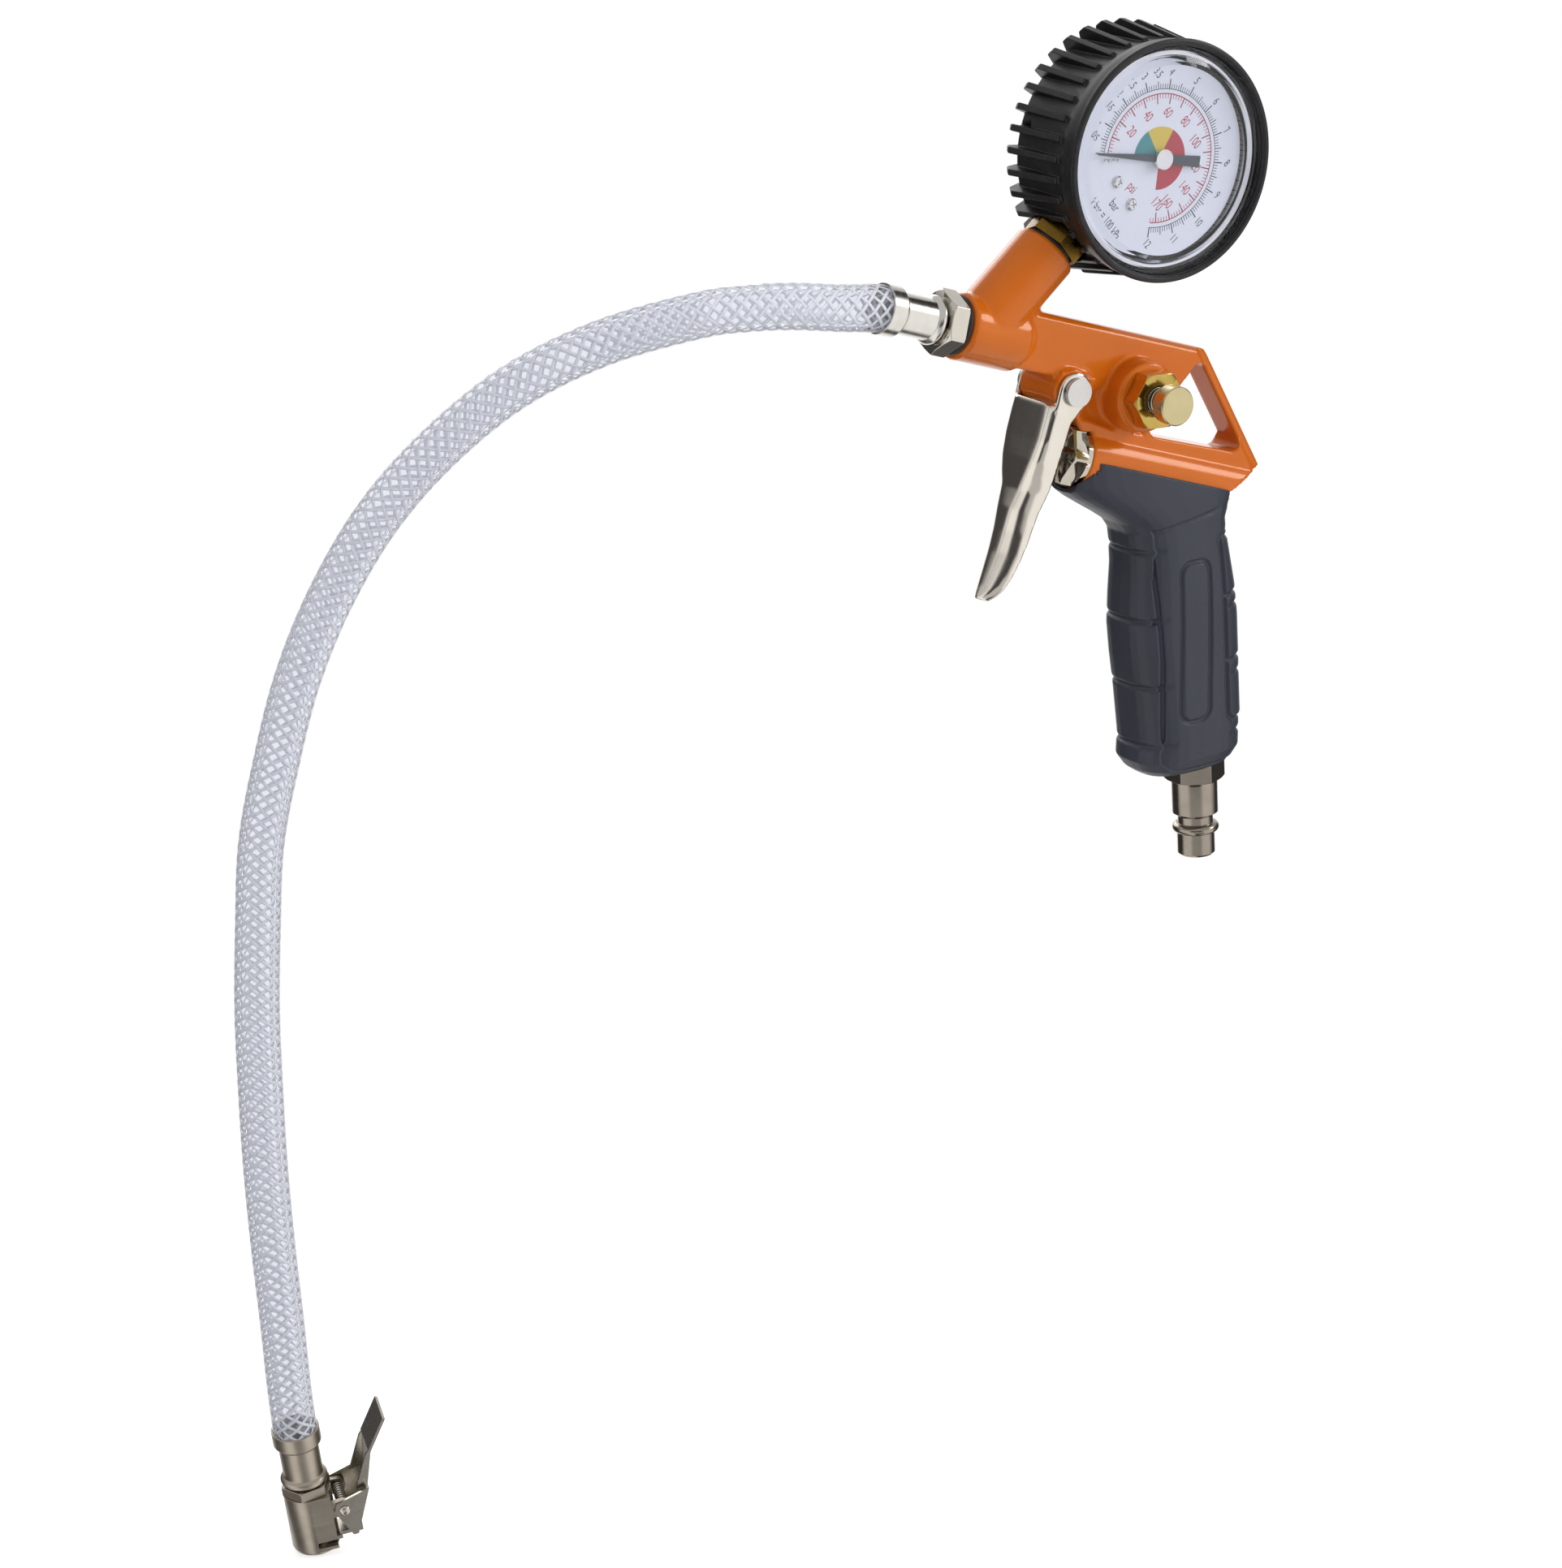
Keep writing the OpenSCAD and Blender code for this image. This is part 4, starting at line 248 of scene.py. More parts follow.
def even_finish(name, dark, light, cell_mm, detail, shine=None, skin_mm=None, **values):
    """Moulded, coated or spun surface whose tone, shine and skin vary together over cells of one size."""
    material, tree, shader, place = blank(name, **values)
    cells = add(tree, "TexNoise", {"Vector": place, "Scale": per_mm(cell_mm), "Detail": detail})
    tone = add(tree, "Mix", {"Factor": cells.outputs["Fac"], COLOUR_A: linear(dark),
                             COLOUR_B: linear(light)}, data_type="RGBA")
    gloss = shine and add(tree, "MapRange", {"Value": cells.outputs["Fac"], "To Min": shine[0],
                                             "To Max": shine[1]})
    skin = skin_mm and add(tree, "Bump", {"Height": cells.outputs["Fac"], "Distance": skin_mm * MM,
                                          "Strength": 0.2})
    feed(tree, shader, tone, gloss, skin)
    return material


# a turned mark runs fifty times further round the axis than along it
LATHE_STRETCH = (0.02, 0.02, 1.0)


def metal(name, light, dark, rough_low, rough_high, turned_on=None, mark_mm=0.5, mark_depth=0.008):
    """Plated or bare metal, its tone in a slow cloud and its shine broken by fine marks. With a frame the
    marks are the rings that a lathe leaves about its Z; without, they lie all ways, as tumbling does."""
    material, tree, shader, place = blank(name, Metallic=1.0)
    cloud = add(tree, "TexNoise", {"Vector": place, "Scale": per_mm(5), "Detail": 3.0})
    tone = add(tree, "Mix", {"Factor": cloud.outputs["Fac"], COLOUR_A: linear(dark),
                             COLOUR_B: linear(light)}, data_type="RGBA")
    marked = place
    if turned_on is not None:
        local = turned_on.inverted()
        upright = add(tree, "Mapping", {"Vector": place, "Location": local.translation,
                                        "Rotation": local.to_euler()})
        marked = add(tree, "Mapping", {"Vector": upright.outputs["Vector"],
                                       "Scale": LATHE_STRETCH}).outputs["Vector"]
    marks = add(tree, "TexNoise", {"Vector": marked, "Scale": per_mm(mark_mm), "Detail": 2.0})
    shine = add(tree, "MapRange", {"Value": marks.outputs["Fac"], "From Min": 0.25, "From Max": 0.75,
                                   "To Min": rough_low, "To Max": rough_high})
    sunk = add(tree, "Bump", {"Height": cloud.outputs["Fac"], "Distance": 0.02 * MM, "Strength": 0.1})
    cut = add(tree, "Bump", {"Height": marks.outputs["Fac"], "Distance": mark_depth * MM, "Strength": 0.3,
                             "Normal": sunk.outputs["Normal"]})
    feed(tree, shader, tone, shine, cut)
    return material


def clear_plastic(name, colour, rough, ior, ripple_mm, shadow, clarity=1.0):
    """Clear plastic that shows what lies behind it, softly rippled from its tool, with pale shadows."""
    material, tree, shader, place = blank(name, Base_Color=linear(colour), Transmission_Weight=clarity,
                                          IOR=ior, Roughness=rough, Coat_Weight=0.5, Coat_Roughness=0.06)
    ripple = add(tree, "TexNoise", {"Vector": place, "Scale": per_mm(ripple_mm), "Detail": 2.0})
    bent = add(tree, "Bump", {"Height": ripple.outputs["Fac"], "Distance": 0.004 * MM, "Strength": 0.08})
    tree.links.new(bent.outputs["Normal"], shader.inputs["Normal"])
    rays = add(tree, "LightPath")
    through = add(tree, "BsdfTransparent", {"Color": linear(shadow)})
    mixed = add(tree, "MixShader", {0: rays.outputs["Is Shadow Ray"], 1: shader.outputs["BSDF"],
                                    2: through.outputs["BSDF"]})
    tree.links.new(mixed.outputs["Shader"], tree.nodes["Material Output"].inputs["Surface"])
    return material


def printed(name, colour, fleck):
    """Ink or paint on a sheet-metal plate: flat colour with faint unevenness in it and in its shine."""
    material, tree, shader, place = blank(name, Specular_IOR_Level=0.3)
    fine = add(tree, "TexNoise", {"Vector": place, "Scale": per_mm(0.6), "Detail": 2.0})
    tone = add(tree, "Mix", {"Factor": fine.outputs["Fac"], COLOUR_A: linear(colour),
                             COLOUR_B: linear(fleck)}, data_type="RGBA")
    slow = add(tree, "TexNoise", {"Vector": place, "Scale": per_mm(2)})
    shine = add(tree, "MapRange", {"Value": slow.outputs["Fac"], "To Min": 0.4, "To Max": 0.55})
    feed(tree, shader, tone, shine)
    return material


enamel = enamel_sprayed()
grip_rubber = rubber_moulded()
boot_rubber = rubber_boot()
# nitrile of a small moulded seal: dull black with a faint bloom
seal_rubber = even_finish("seal_nitrile_moulded", "#141416", "#222226", 1.5, 4.0, (0.42, 0.6),
                          Specular_IOR_Level=0.4)
# off-white nylon washer: waxy, slightly yellowed
washer_nylon = even_finish("washer_nylon_moulded", "#d2cec2", "#dedace", 3, 2.0, (0.4, 0.55),
                           Subsurface_Weight=0.1, Subsurface_Scale=0.6 * MM)
# black enamel stoved on the drawn steel of the gauge's case: gloss with a fine orange peel
case_black = even_finish("black_enamel_stoved", "#141417", "#1c1c20", 1.2, 2.0, (0.28, 0.42), 0.02)
# zinc on the case's rolled rim: a dull pale ring round the dial
rim_zinc = metal("zinc_plate_on_rolled_rim", "#dcdde2", "#cdced4", 0.3, 0.42)
# nickel over a turned plug: brownish grey, streaked round by the tool
plug_nickel = metal("nickel_plate_turned", "#9d968c", "#867e73", 0.12, 0.22, Matrix.Identity(4))
# bright nickel over a turned fitting: crisp pale facets
muzzle_nickel = metal("nickel_plate_turned_fitting", "#cbc7bf", "#bab5ab", 0.08, 0.16, muzzle)
# drawn steel of the ferrule: soft bright bands along its round
ferrule_steel = metal("steel_ferrule_drawn", "#d6d4d0", "#c4c1bb", 0.14, 0.26, muzzle, mark_mm=0.7)
# bright nickel over a polished pressing: nearly a mirror, with slow waves left by the press
trigger_nickel = metal("bright_nickel_on_pressed_steel", "#d6d1c9", "#cac4ba", 0.1, 0.15, mark_mm=0.9,
                       mark_depth=0.001)
# steel pins tumbled in a barrel: an even satin
pin_steel = metal("steel_pin_barrelled", "#cccbcb", "#c2c0bf", 0.24, 0.32, mark_depth=0.002)
# satin nickel over turned brass: warm and soft, ringed by the lathe
chuck_nickel = metal("satin_nickel_on_brass_turned", "#b3ab9e", "#9a9285", 0.3, 0.42, chuck)
# nickel over stamped sheet: bright, with faint scratches all ways
clip_nickel = metal("nickel_plate_on_stamped_sheet", "#cdc8be", "#aea89d", 0.16, 0.28)
# drawn spring wire: a bright line along each coil
spring_steel = metal("spring_wire_drawn", "#c0bdb8", "#a4a19b", 0.2, 0.3)
# bright nickel over hexagon bar: mirror facets with a yellowish cast
valve_nickel = metal("nickel_plate_bright_hexagon", "#c2bdb2", "#9f998c", 0.08, 0.18, valve)
# yellow passivated zinc over turned steel: brassy gold with darker clouds
yellow_zinc = metal("yellow_passivated_zinc_turned", "#cdb56c", "#9c8138", 0.14, 0.26, bleed)
# the same finish on a faced button: paler and more even
button_zinc = metal("yellow_passivated_zinc_faced", "#c3b890", "#b5a87f", 0.2, 0.32, bleed)
# milled brass left oily: a dark olive gold
stem_brass = metal("brass_milled_oiled", "#8f6f2c", "#5d461c", 0.22, 0.38)
# stamped brass: clear yellow
bright_brass = metal("brass_stamped", "#c9a455", "#b18c40", 0.2, 0.32)
# zinc on small screws: cool and bright
screw_zinc = metal("zinc_plated_screw", "#d6d6d8", "#bdbdbf", 0.14, 0.28)
# slate paint on the pointer: dark and flat
pointer_paint = printed("pointer_slate_painted", "#3a424a", "#454d55")
# white paint on the dial's sheet: clean and faintly cool
dial_white = printed("dial_white_painted", "#eef0f8", "#f5f7fc")
# screen-printed inks: flat colours whose density varies a little
ink_black = printed("dial_ink_black", "#33373d", "#42464c")
ink_red = printed("dial_ink_red", "#b8303f", "#c03c4e")
ink_teal = printed("dial_ink_teal", "#3a8b8e", "#449598")
ink_yellow = printed("dial_ink_yellow", "#dfc24a", "#e6cb58")
# polished polycarbonate: clear, its IOR kept low so that the dial's edge isn't bent out of sight
lens_clear = clear_plastic("polycarbonate_lens_polished", "#fafbff", 0.01, 1.25, 4.0, "#f4f5fa")
# extruded soft PVC: a faintly milky wall with a glossy skin, its IOR kept low so that the braid shows clearly
hose_clear = clear_plastic("pvc_hose_extruded", "#f7f8fe", 0.05, 1.08, 3.0, "#ffffff", clarity=0.93)
# white polyester yarn soaked in the hose's clear wall: soft white that lets some light through
yarn_white = even_finish("polyester_yarn_braided", "#f0f2fa", "#fcfdff", 0.35, 2.0, None, 0.02,
                         Roughness=0.5, Alpha=0.72)

# each finish, and the nodes that take it
FINISHED = (
    (enamel, "body_casting"), (grip_rubber, "grip_sleeve"), (boot_rubber, "gauge_boot"),
    (plug_nickel, "inlet_plug"), (washer_nylon, "inlet_washer"), (trigger_nickel, "trigger_lever"),
    (pin_steel, "trigger_pin trigger_clip valve_stem pinion"), (valve_nickel, "valve_nut"),
    (seal_rubber, "valve_nut_seal stem_seal poppet_seal bleed_seal fitting_seal chuck_seal gauge_seal"),
    (bright_brass, "valve_poppet bleed_poppet chuck_depressor back_plate front_plate plate_pillars "
                   "sector_gear hairspring bourdon_tube bourdon_tip bourdon_link"),
    (spring_steel, "valve_spring bleed_spring clip_spring"), (yellow_zinc, "bleed_nut"),
    (button_zinc, "bleed_button"), (muzzle_nickel, "hose_fitting"), (ferrule_steel, "gun_ferrule"),
    (hose_clear, "hose"), (chuck_nickel, "chuck_ferrule chuck_tail chuck_body"),
    (clip_nickel, "chuck_rivet clip_lever clip_jaw"), (stem_brass, "gauge_socket"),
    (case_black, "gauge_case"),
    (screw_zinc, "case_screws dial_screws stop_pins plate_screws movement_screws pointer_hub"),
    (lens_clear, "gauge_lens"), (dial_white, "gauge_dial"), (pointer_paint, "pointer"),
)
FINISHES = {node: finish for finish, names in FINISHED for node in names.split()}

# ---------------------------------------------------------------- CAD nodes that stay
# width of the broken edges, in mm; the cover's is the full round of its ribs
EDGES = ((0.35, "gauge_boot"), (0.25, "bleed_button chuck_body"), (0.2, "trigger_pin"),
         (0.15, "valve_nut bleed_nut hose_fitting chuck_tail gauge_socket gauge_case pointer_hub"),
         (0.12, "inlet_plug clip_lever clip_jaw"), (0.1, "gun_ferrule chuck_ferrule"),
         (0.08, "chuck_rivet pointer"), (0.05, "dial_screws stop_pins"))
EDGE_MM = {node: width for width, names in EDGES for node in names.split()}
LEAST_EDGE_MM = 0.03
WELD_MM = 0.004
SHARP_EDGE = math.radians(32)
# nodes whose surface is left as it is, so that nothing shows twice through it
POLISHED = ("gauge_lens",)
# ribs close together, whose rounds would shrink to nothing if they gave way to each other
CLOSE_RIBS = ("gauge_boot",)


def dress(node):
    """Finish of a CAD node, with its edges broken by a small round."""
    piece = nodes[node]
    piece.data.materials.clear()
    piece.data.materials.append(FINISHES[node])
    piece.data.polygons.foreach_set("use_smooth", [True] * len(piece.data.polygons))
    if node in POLISHED:
        return
    if "custom_normal" in piece.data.attributes:
        piece.data.attributes.remove(piece.data.attributes["custom_normal"])
    weld = piece.modifiers.new("weld", "WELD")
    weld.merge_threshold = WELD_MM * MM
    bevel = piece.modifiers.new("edges", "BEVEL")
    bevel.width = EDGE_MM.get(node, LEAST_EDGE_MM) * MM
    bevel.segments = 2 if node in EDGE_MM else 1
    bevel.limit_method = "ANGLE"
    bevel.angle_limit = SHARP_EDGE
    bevel.harden_normals = True
    bevel.use_clamp_overlap = node not in CLOSE_RIBS


for node_name in nodes:
    dress(node_name)

# the case's rolled rim: its faces inside this radius and in front of this depth, in the gauge's frame
CASE_BORE_R = 27.3
RIM_BACK_Y = -3
case_faces = nodes["gauge_case"].data
case_faces.materials.append(rim_zinc)
to_gauge = gauge.inverted()
for face in case_faces.polygons:
    middle = to_gauge @ face.center / MM
    if math.hypot(middle.x, middle.z) < CASE_BORE_R and middle.y < RIM_BACK_Y:
        face.material_index = 1


# ---------------------------------------------------------------- helpers for made pieces
def piece_from(name, data, finish, body, *replaced):
    """Object of its own that rides on a body and may stand for CAD nodes."""
    made = bpy.data.objects.new(name, data)
    bpy.context.scene.collection.objects.link(made)
    data.materials.clear()
    data.materials.append(finish)
    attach(made, body)
    if replaced:
        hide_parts(*replaced)
    return made


def applied(holder):
    """Mesh of an object after its modifiers."""
    graph = bpy.context.evaluated_depsgraph_get()
    graph.update()
    return bpy.data.meshes.new_from_object(holder.evaluated_get(graph))


def vectors_of(mesh, what):
    """Array of the vertices' "co" or "normal"."""
    flat = np.empty(len(mesh.vertices) * 3, np.float64)
    mesh.vertices.foreach_get(what, flat)
    return flat.reshape(-1, 3)


def set_points(mesh, points):
    """Moves a mesh's vertices."""
    mesh.vertices.foreach_set("co", points.astype(np.float32).ravel())
    mesh.update()


def shaded_mesh(name, points, faces):
    """Smooth-shaded mesh whose faces all look outward."""
    mesh = bpy.data.meshes.new(name)
    mesh.from_pydata([tuple(p) for p in points], [], faces)
    mesh.polygons.foreach_set("use_smooth", [True] * len(mesh.polygons))
    shape = bmesh.new()
    shape.from_mesh(mesh)
    bmesh.ops.recalc_face_normals(shape, faces=shape.faces)
    shape.to_mesh(mesh)
    shape.free()
    return mesh


def neighbour_mean(mesh):
    """Function that gives each point the mean of its neighbours' values."""
    ends = np.empty(len(mesh.edges) * 2, np.int64)
    mesh.edges.foreach_get("vertices", ends)
    first, second = ends.reshape(-1, 2).T
    count = len(mesh.vertices)
    share = np.maximum(np.bincount(ends, minlength=count), 1)

    def mean(values):
        columns = values.reshape(count, -1).T
        total = [np.bincount(first, column[second], count) + np.bincount(second, column[first], count)
                 for column in columns]
        return (np.array(total) / share).T.reshape(values.shape)

    return mean


COARSE = 1.0


def moulded_mesh(node, voxel_mm, rounds):
    """Mesh of a CAD node with every edge rounded, as casting and moulding leave it."""
    source = nodes[node].data.copy()
    if "custom_normal" in source.attributes:
        source.attributes.remove(source.attributes["custom_normal"])
    holder = bpy.data.objects.new("holder", source)
    bpy.context.scene.collection.objects.link(holder)
    weld = holder.modifiers.new("weld", "WELD")
    weld.merge_threshold = WELD_MM * MM
    remesh = holder.modifiers.new("remesh", "REMESH")
    remesh.mode = "VOXEL"
    remesh.voxel_size = voxel_mm * COARSE * MM
    remesh.use_smooth_shade = True
    smooth = holder.modifiers.new("smooth", "SMOOTH")
    smooth.factor = 0.5
    smooth.iterations = rounds
    mesh = applied(holder)
    bpy.data.objects.remove(holder)
    mesh.polygons.foreach_set("use_smooth", [True] * len(mesh.polygons))
    return mesh


# ---------------------------------------------------------------- casting
CAST_VOXEL = 0.42
CAST_ROUNDS = 5
# how deep under its neighbours' mean a point lies that counts as hollow, and how the fillets grow from there
HOLLOW_MM = 0.035
FILLET_SPREAD = 5
SPREAD_GAIN = 2.2
BLUR_ROUNDS = 3
FILLET_ROUNDS = 60


def fill_inner_corners(mesh):
    """Cast fillets: points in a hollow corner, and those near it, are drawn to their neighbours' mean."""
    mean = neighbour_mean(mesh)
    points, normals = vectors_of(mesh, "co"), vectors_of(mesh, "normal")
    rise = ((mean(points) - points) * normals).sum(1) / MM
    near = np.clip((rise - HOLLOW_MM) / HOLLOW_MM, 0, 1)
    for _ in range(FILLET_SPREAD):
        near = np.maximum(near, np.clip(SPREAD_GAIN * mean(near), 0, 1))
    for _ in range(BLUR_ROUNDS):
        near = mean(near)
    for _ in range(FILLET_ROUNDS):
        points += 0.5 * near[:, None] * (mean(points) - points)
    set_points(mesh, points)


casting_mesh = moulded_mesh("body_casting", CAST_VOXEL, CAST_ROUNDS)
fill_inner_corners(casting_mesh)
piece_from("casting", casting_mesh, enamel, "gun", "body_casting")


# ---------------------------------------------------------------- grip
def rounded_box(x, z, box, radius):
    """Signed distance from the outline of a rounded box, in mm."""
    left, right, low, high = box
    dx = np.abs(x - (left + right) / 2) - (right - left) / 2 + radius
    dz = np.abs(z - (low + high) / 2) - (high - low) / 2 + radius
    return np.hypot(np.maximum(dx, 0), np.maximum(dz, 0)) + np.minimum(np.maximum(dx, dz), 0) - radius


def groove(distance, half_width, depth):
    """Depth of a moulded groove with soft shoulders and a round bottom."""
    return depth * np.exp(-(distance / half_width) ** 4)


def below(distance, depth):
    """Depth that grows softly from 0 outside an outline to its full value inside it."""
    return depth * np.clip(0.5 - distance / 0.8, 0, 1)


# outlines in the tool's X and Z, in mm: left, right, low and high, and the radius of their corners
FRONT_PAD, REAR_PAD, PAD_CORNER = (-60, 0, 31.2, 84.4), (3.0, 60, 35.0, 86.0), 3.0
PANEL, PANEL_CORNER, PANEL_DEPTH = (-4.6, 4.6, 37.3, 80.0), 3.2, 0.4
# half width and depth of each moulded groove
FRONT_GROOVE, REAR_GROOVE = (0.7, 1.25), (0.65, 1.1)
FINGER_GROOVE, PALM_GROOVE = (0.65, 1.15), (0.6, 0.9)
PANEL_GROOVE, COLLAR_GROOVE = (0.7, 1.15), (0.7, 0.8)
# height of each finger groove at x = -18, and its slope
FINGER_LINES = ((47.6, 0.05), (65.8, 0.0))
PALM_HEIGHTS = (51.5, 69.0)
COLLAR_HEIGHT, COLLAR_SLOPE, COLLAR_STEP = 89.2, 0.13, 0.45
# the bore for the casting's core, which isn't carved: its middle, half length and radius across the grip
CORE_X, CORE_HALF, CORE_R = -9, 8, 9.5


def grip_carving(points, normals):
    """How far each point of the sleeve sinks: pad outlines, finger grooves, recessed panel, collar step."""
    x, y, z = points.T / MM
    on_side = np.abs(normals[:, 1]) > 0.5
    outside = np.hypot(np.maximum(np.abs(x - CORE_X) - CORE_HALF, 0), y) > CORE_R
    front_edge = -17.0 - 0.055 * np.clip(z - 55, 0, 40) - 0.01 * np.clip(55 - z, 0, 40)
    front_pad = rounded_box(x - front_edge, z, FRONT_PAD, PAD_CORNER)
    rear_pad = rounded_box(x, z, REAR_PAD, PAD_CORNER)
    sink = np.maximum(groove(front_pad, *FRONT_GROOVE), groove(rear_pad, *REAR_GROOVE))
    for height, slope in FINGER_LINES:
        line = z - height - slope * (x + 18)
        sink = np.maximum(sink, np.where(front_pad < 0, groove(line, *FINGER_GROOVE), 0))
    for height in PALM_HEIGHTS:
        sink = np.maximum(sink, np.where(rear_pad < 0, groove(z - height, *PALM_GROOVE), 0))
    panel = rounded_box(x + 6.2 + 0.04 * (77.0 - z), z, PANEL, PANEL_CORNER)
    sink = np.maximum(sink, np.where(on_side, groove(panel, *PANEL_GROOVE), 0))
    sink = np.maximum(sink, np.where(on_side, below(panel, PANEL_DEPTH), 0))
    collar = z - COLLAR_HEIGHT - COLLAR_SLOPE * np.clip(x + 20, 0, 40)
    sink = np.maximum(sink, groove(collar, *COLLAR_GROOVE))
    body_sink = np.where((front_pad > 0) & (rear_pad > 0), below(collar, COLLAR_STEP), 0)
    # the sleeve's wall is thin behind, under the collar
    thin = np.clip((x - 1) / 3, 0, 1) * np.clip((z - 83) / 3, 0, 1)
    return np.where(outside, np.maximum(sink, body_sink), 0.0) * (1 - 0.85 * thin)


GRIP_VOXEL = 0.28
GRIP_ROUNDS = 6
# rounds that even out the directions in which the grooves sink, and that soften their shoulders
EVEN_ROUNDS = 10
SOFTEN_ROUNDS = 2
grip_mesh = moulded_mesh("grip_sleeve", GRIP_VOXEL, GRIP_ROUNDS)
grip_mean = neighbour_mean(grip_mesh)
grip_points, grip_normals = vectors_of(grip_mesh, "co"), vectors_of(grip_mesh, "normal")
for _ in range(EVEN_ROUNDS):
    grip_normals = grip_mean(grip_normals)
grip_normals /= np.linalg.norm(grip_normals, axis=1)[:, None]
grip_points -= grip_normals * grip_carving(grip_points, grip_normals)[:, None] * MM
for _ in range(SOFTEN_ROUNDS):
    grip_points += 0.4 * (grip_mean(grip_points) - grip_points)
set_points(grip_mesh, grip_points)
piece_from("grip", grip_mesh, grip_rubber, "gun", "grip_sleeve")

# ---------------------------------------------------------------- trigger
TRIGGER_VOXEL = 0.28
TRIGGER_ROUNDS = 44
piece_from("trigger", moulded_mesh("trigger_lever", TRIGGER_VOXEL, TRIGGER_ROUNDS), trigger_nickel, "trigger",
           "trigger_lever")


# ---------------------------------------------------------------- swept tubes
# share of the way between two knots at which the curve is worked out
FINE_STEP = 0.025
# way across that no tube here starts along
ASIDE = (0.75, 0.65, 0)


def spread(path, step):
    """Points a step apart on a smooth curve through the path, and how far along each one lies."""
    path = np.array(path, float)
    ends = np.vstack([2 * path[0] - path[1], path, 2 * path[-1] - path[-2]])
    fine = []
    for i in range(1, len(ends) - 2):
        a, b, c, d = ends[i - 1:i + 3]
        for t in np.arange(0, 1, FINE_STEP):
            fine.append(0.5 * ((2 * b) + (c - a) * t + (2 * a - 5 * b + 4 * c - d) * t * t
                               + (3 * b - a - 3 * c + d) * t ** 3))
    fine.append(path[-1])
    fine = np.array(fine)
    run = np.concatenate([[0], np.cumsum(np.linalg.norm(np.diff(fine, axis=0), axis=1))])
    places = np.linspace(0, run[-1], int(run[-1] / step) + 1)
    return np.stack([np.interp(places, run, fine[:, k]) for k in range(3)], 1), places


def carried_frames(path):
    """Two unit vectors across the path at each point, turned as little as may be."""
    along = np.gradient(path, axis=0)
    along /= np.linalg.norm(along, axis=1)[:, None]
    first = np.cross(along[0], ASIDE)
    first /= np.linalg.norm(first)
    across = [first]
    for way in along[1:]:
        side = across[-1] - way * np.dot(across[-1], way)
        across.append(side / np.linalg.norm(side))
    across = np.array(across)
    return across, np.cross(along, across)


def wall_faces(rows, sides, start=0):
    """Faces between the rings of a tube, whose points start at an index."""
    return [(start + i * sides + k, start + i * sides + (k + 1) % sides,
             start + (i + 1) * sides + (k + 1) % sides, start + (i + 1) * sides + k)
            for i in range(rows - 1) for k in range(sides)]


def tube_mesh(name, path, radii, sides, bore=None):
    """Tube along a path; with a bore it is hollow, and either way its ends are closed."""
    u, v = carried_frames(path)
    angles = np.linspace(0, 2 * math.pi, sides, endpoint=False)
    ring = np.cos(angles)[None, :, None] * u[:, None] + np.sin(angles)[None, :, None] * v[:, None]
    points = (path[:, None] + ring * np.asarray(radii)[:, None, None]).reshape(-1, 3)
    faces = wall_faces(len(path), sides)
    last = (len(path) - 1) * sides
    if bore is None:
        faces += [tuple(range(sides)), tuple(range(last, last + sides))]
    else:
        start = len(points)
        inner = (path[:, None] + ring * np.asarray(bore)[:, None, None]).reshape(-1, 3)
        faces += [tuple(start + j for j in face) for face in faces]
        for k in range(sides):
            m = (k + 1) % sides
            faces.append((k, start + k, start + m, m))
            faces.append((last + k, last + m, start + last + m, start + last + k))
        points = np.vstack([points, inner])
    return shaded_mesh(name, points, faces)


# ---------------------------------------------------------------- hose
HOSE_R = 6.1 * MM
CRIMPED_R = 4.93 * MM
BORE_R = 4.05 * MM
# middle line of the hose between its ferrules, in mm
HOSE_ROUTE = (
    (-105.5, 0.7, 162.5), (-117.5, 3, 164.6), (-129, 6.5, 165.5), (-141, 11, 165), (-162, 23, 159.5),
    (-180, 36.5, 149), (-195, 49.5, 133.5), (-206.5, 61.5, 115.5), (-215, 72.5, 94.5), (-221, 82, 72),
    (-224.5, 90, 48.5), (-226.5, 97.5, 25), (-226, 103.5, 0.5), (-225, 109, -24), (-223, 114, -48),
    (-220.5, 119, -72.5), (-217.5, 123.5, -97), (-214, 128, -121.5), (-211.5, 131.5, -140),
)
FERRULE_Z = 7.0
FERRULE_LEN = 17.5
# how deep the hose's knots lie in a ferrule, from its open rim
IN_FERRULE = (2.6, 11.8, 13.2, 17.5)
HOSE_STEP = 1.0 * MM
HOSE_SIDES = 40
CRIMP_END = 9.2 * MM
CRIMP_FADE = 1.6 * MM
gun_ends = [muzzle @ Vector((0, 0, (FERRULE_Z + z) * MM)) for z in IN_FERRULE]
chuck_ends = [chuck @ Vector((0, 0, (z - FERRULE_LEN) * MM)) for z in reversed(IN_FERRULE)]
hose_knots = [tuple(p) for p in gun_ends] + [tuple(c * MM for c in p) for p in HOSE_ROUTE] + [
    tuple(p) for p in chuck_ends]
hose_path, hose_run = spread(hose_knots, HOSE_STEP)
hose_length = float(hose_run[-1])


def hose_radius(full, crimped):
    """Radius along the hose, squeezed where the ferrules are crimped."""
    from_end = np.minimum(hose_run, hose_length - hose_run)
    grown = np.clip((from_end - CRIMP_END) / CRIMP_FADE, 0, 1)
    return crimped + (full - crimped) * grown * grown * (3 - 2 * grown)


hose_wall = tube_mesh("hose_wall", hose_path, hose_radius(HOSE_R, CRIMPED_R), HOSE_SIDES,
                      np.full(len(hose_path), BORE_R))
hose = piece_from("hose_wall", hose_wall, hose_clear, "gun", "hose")

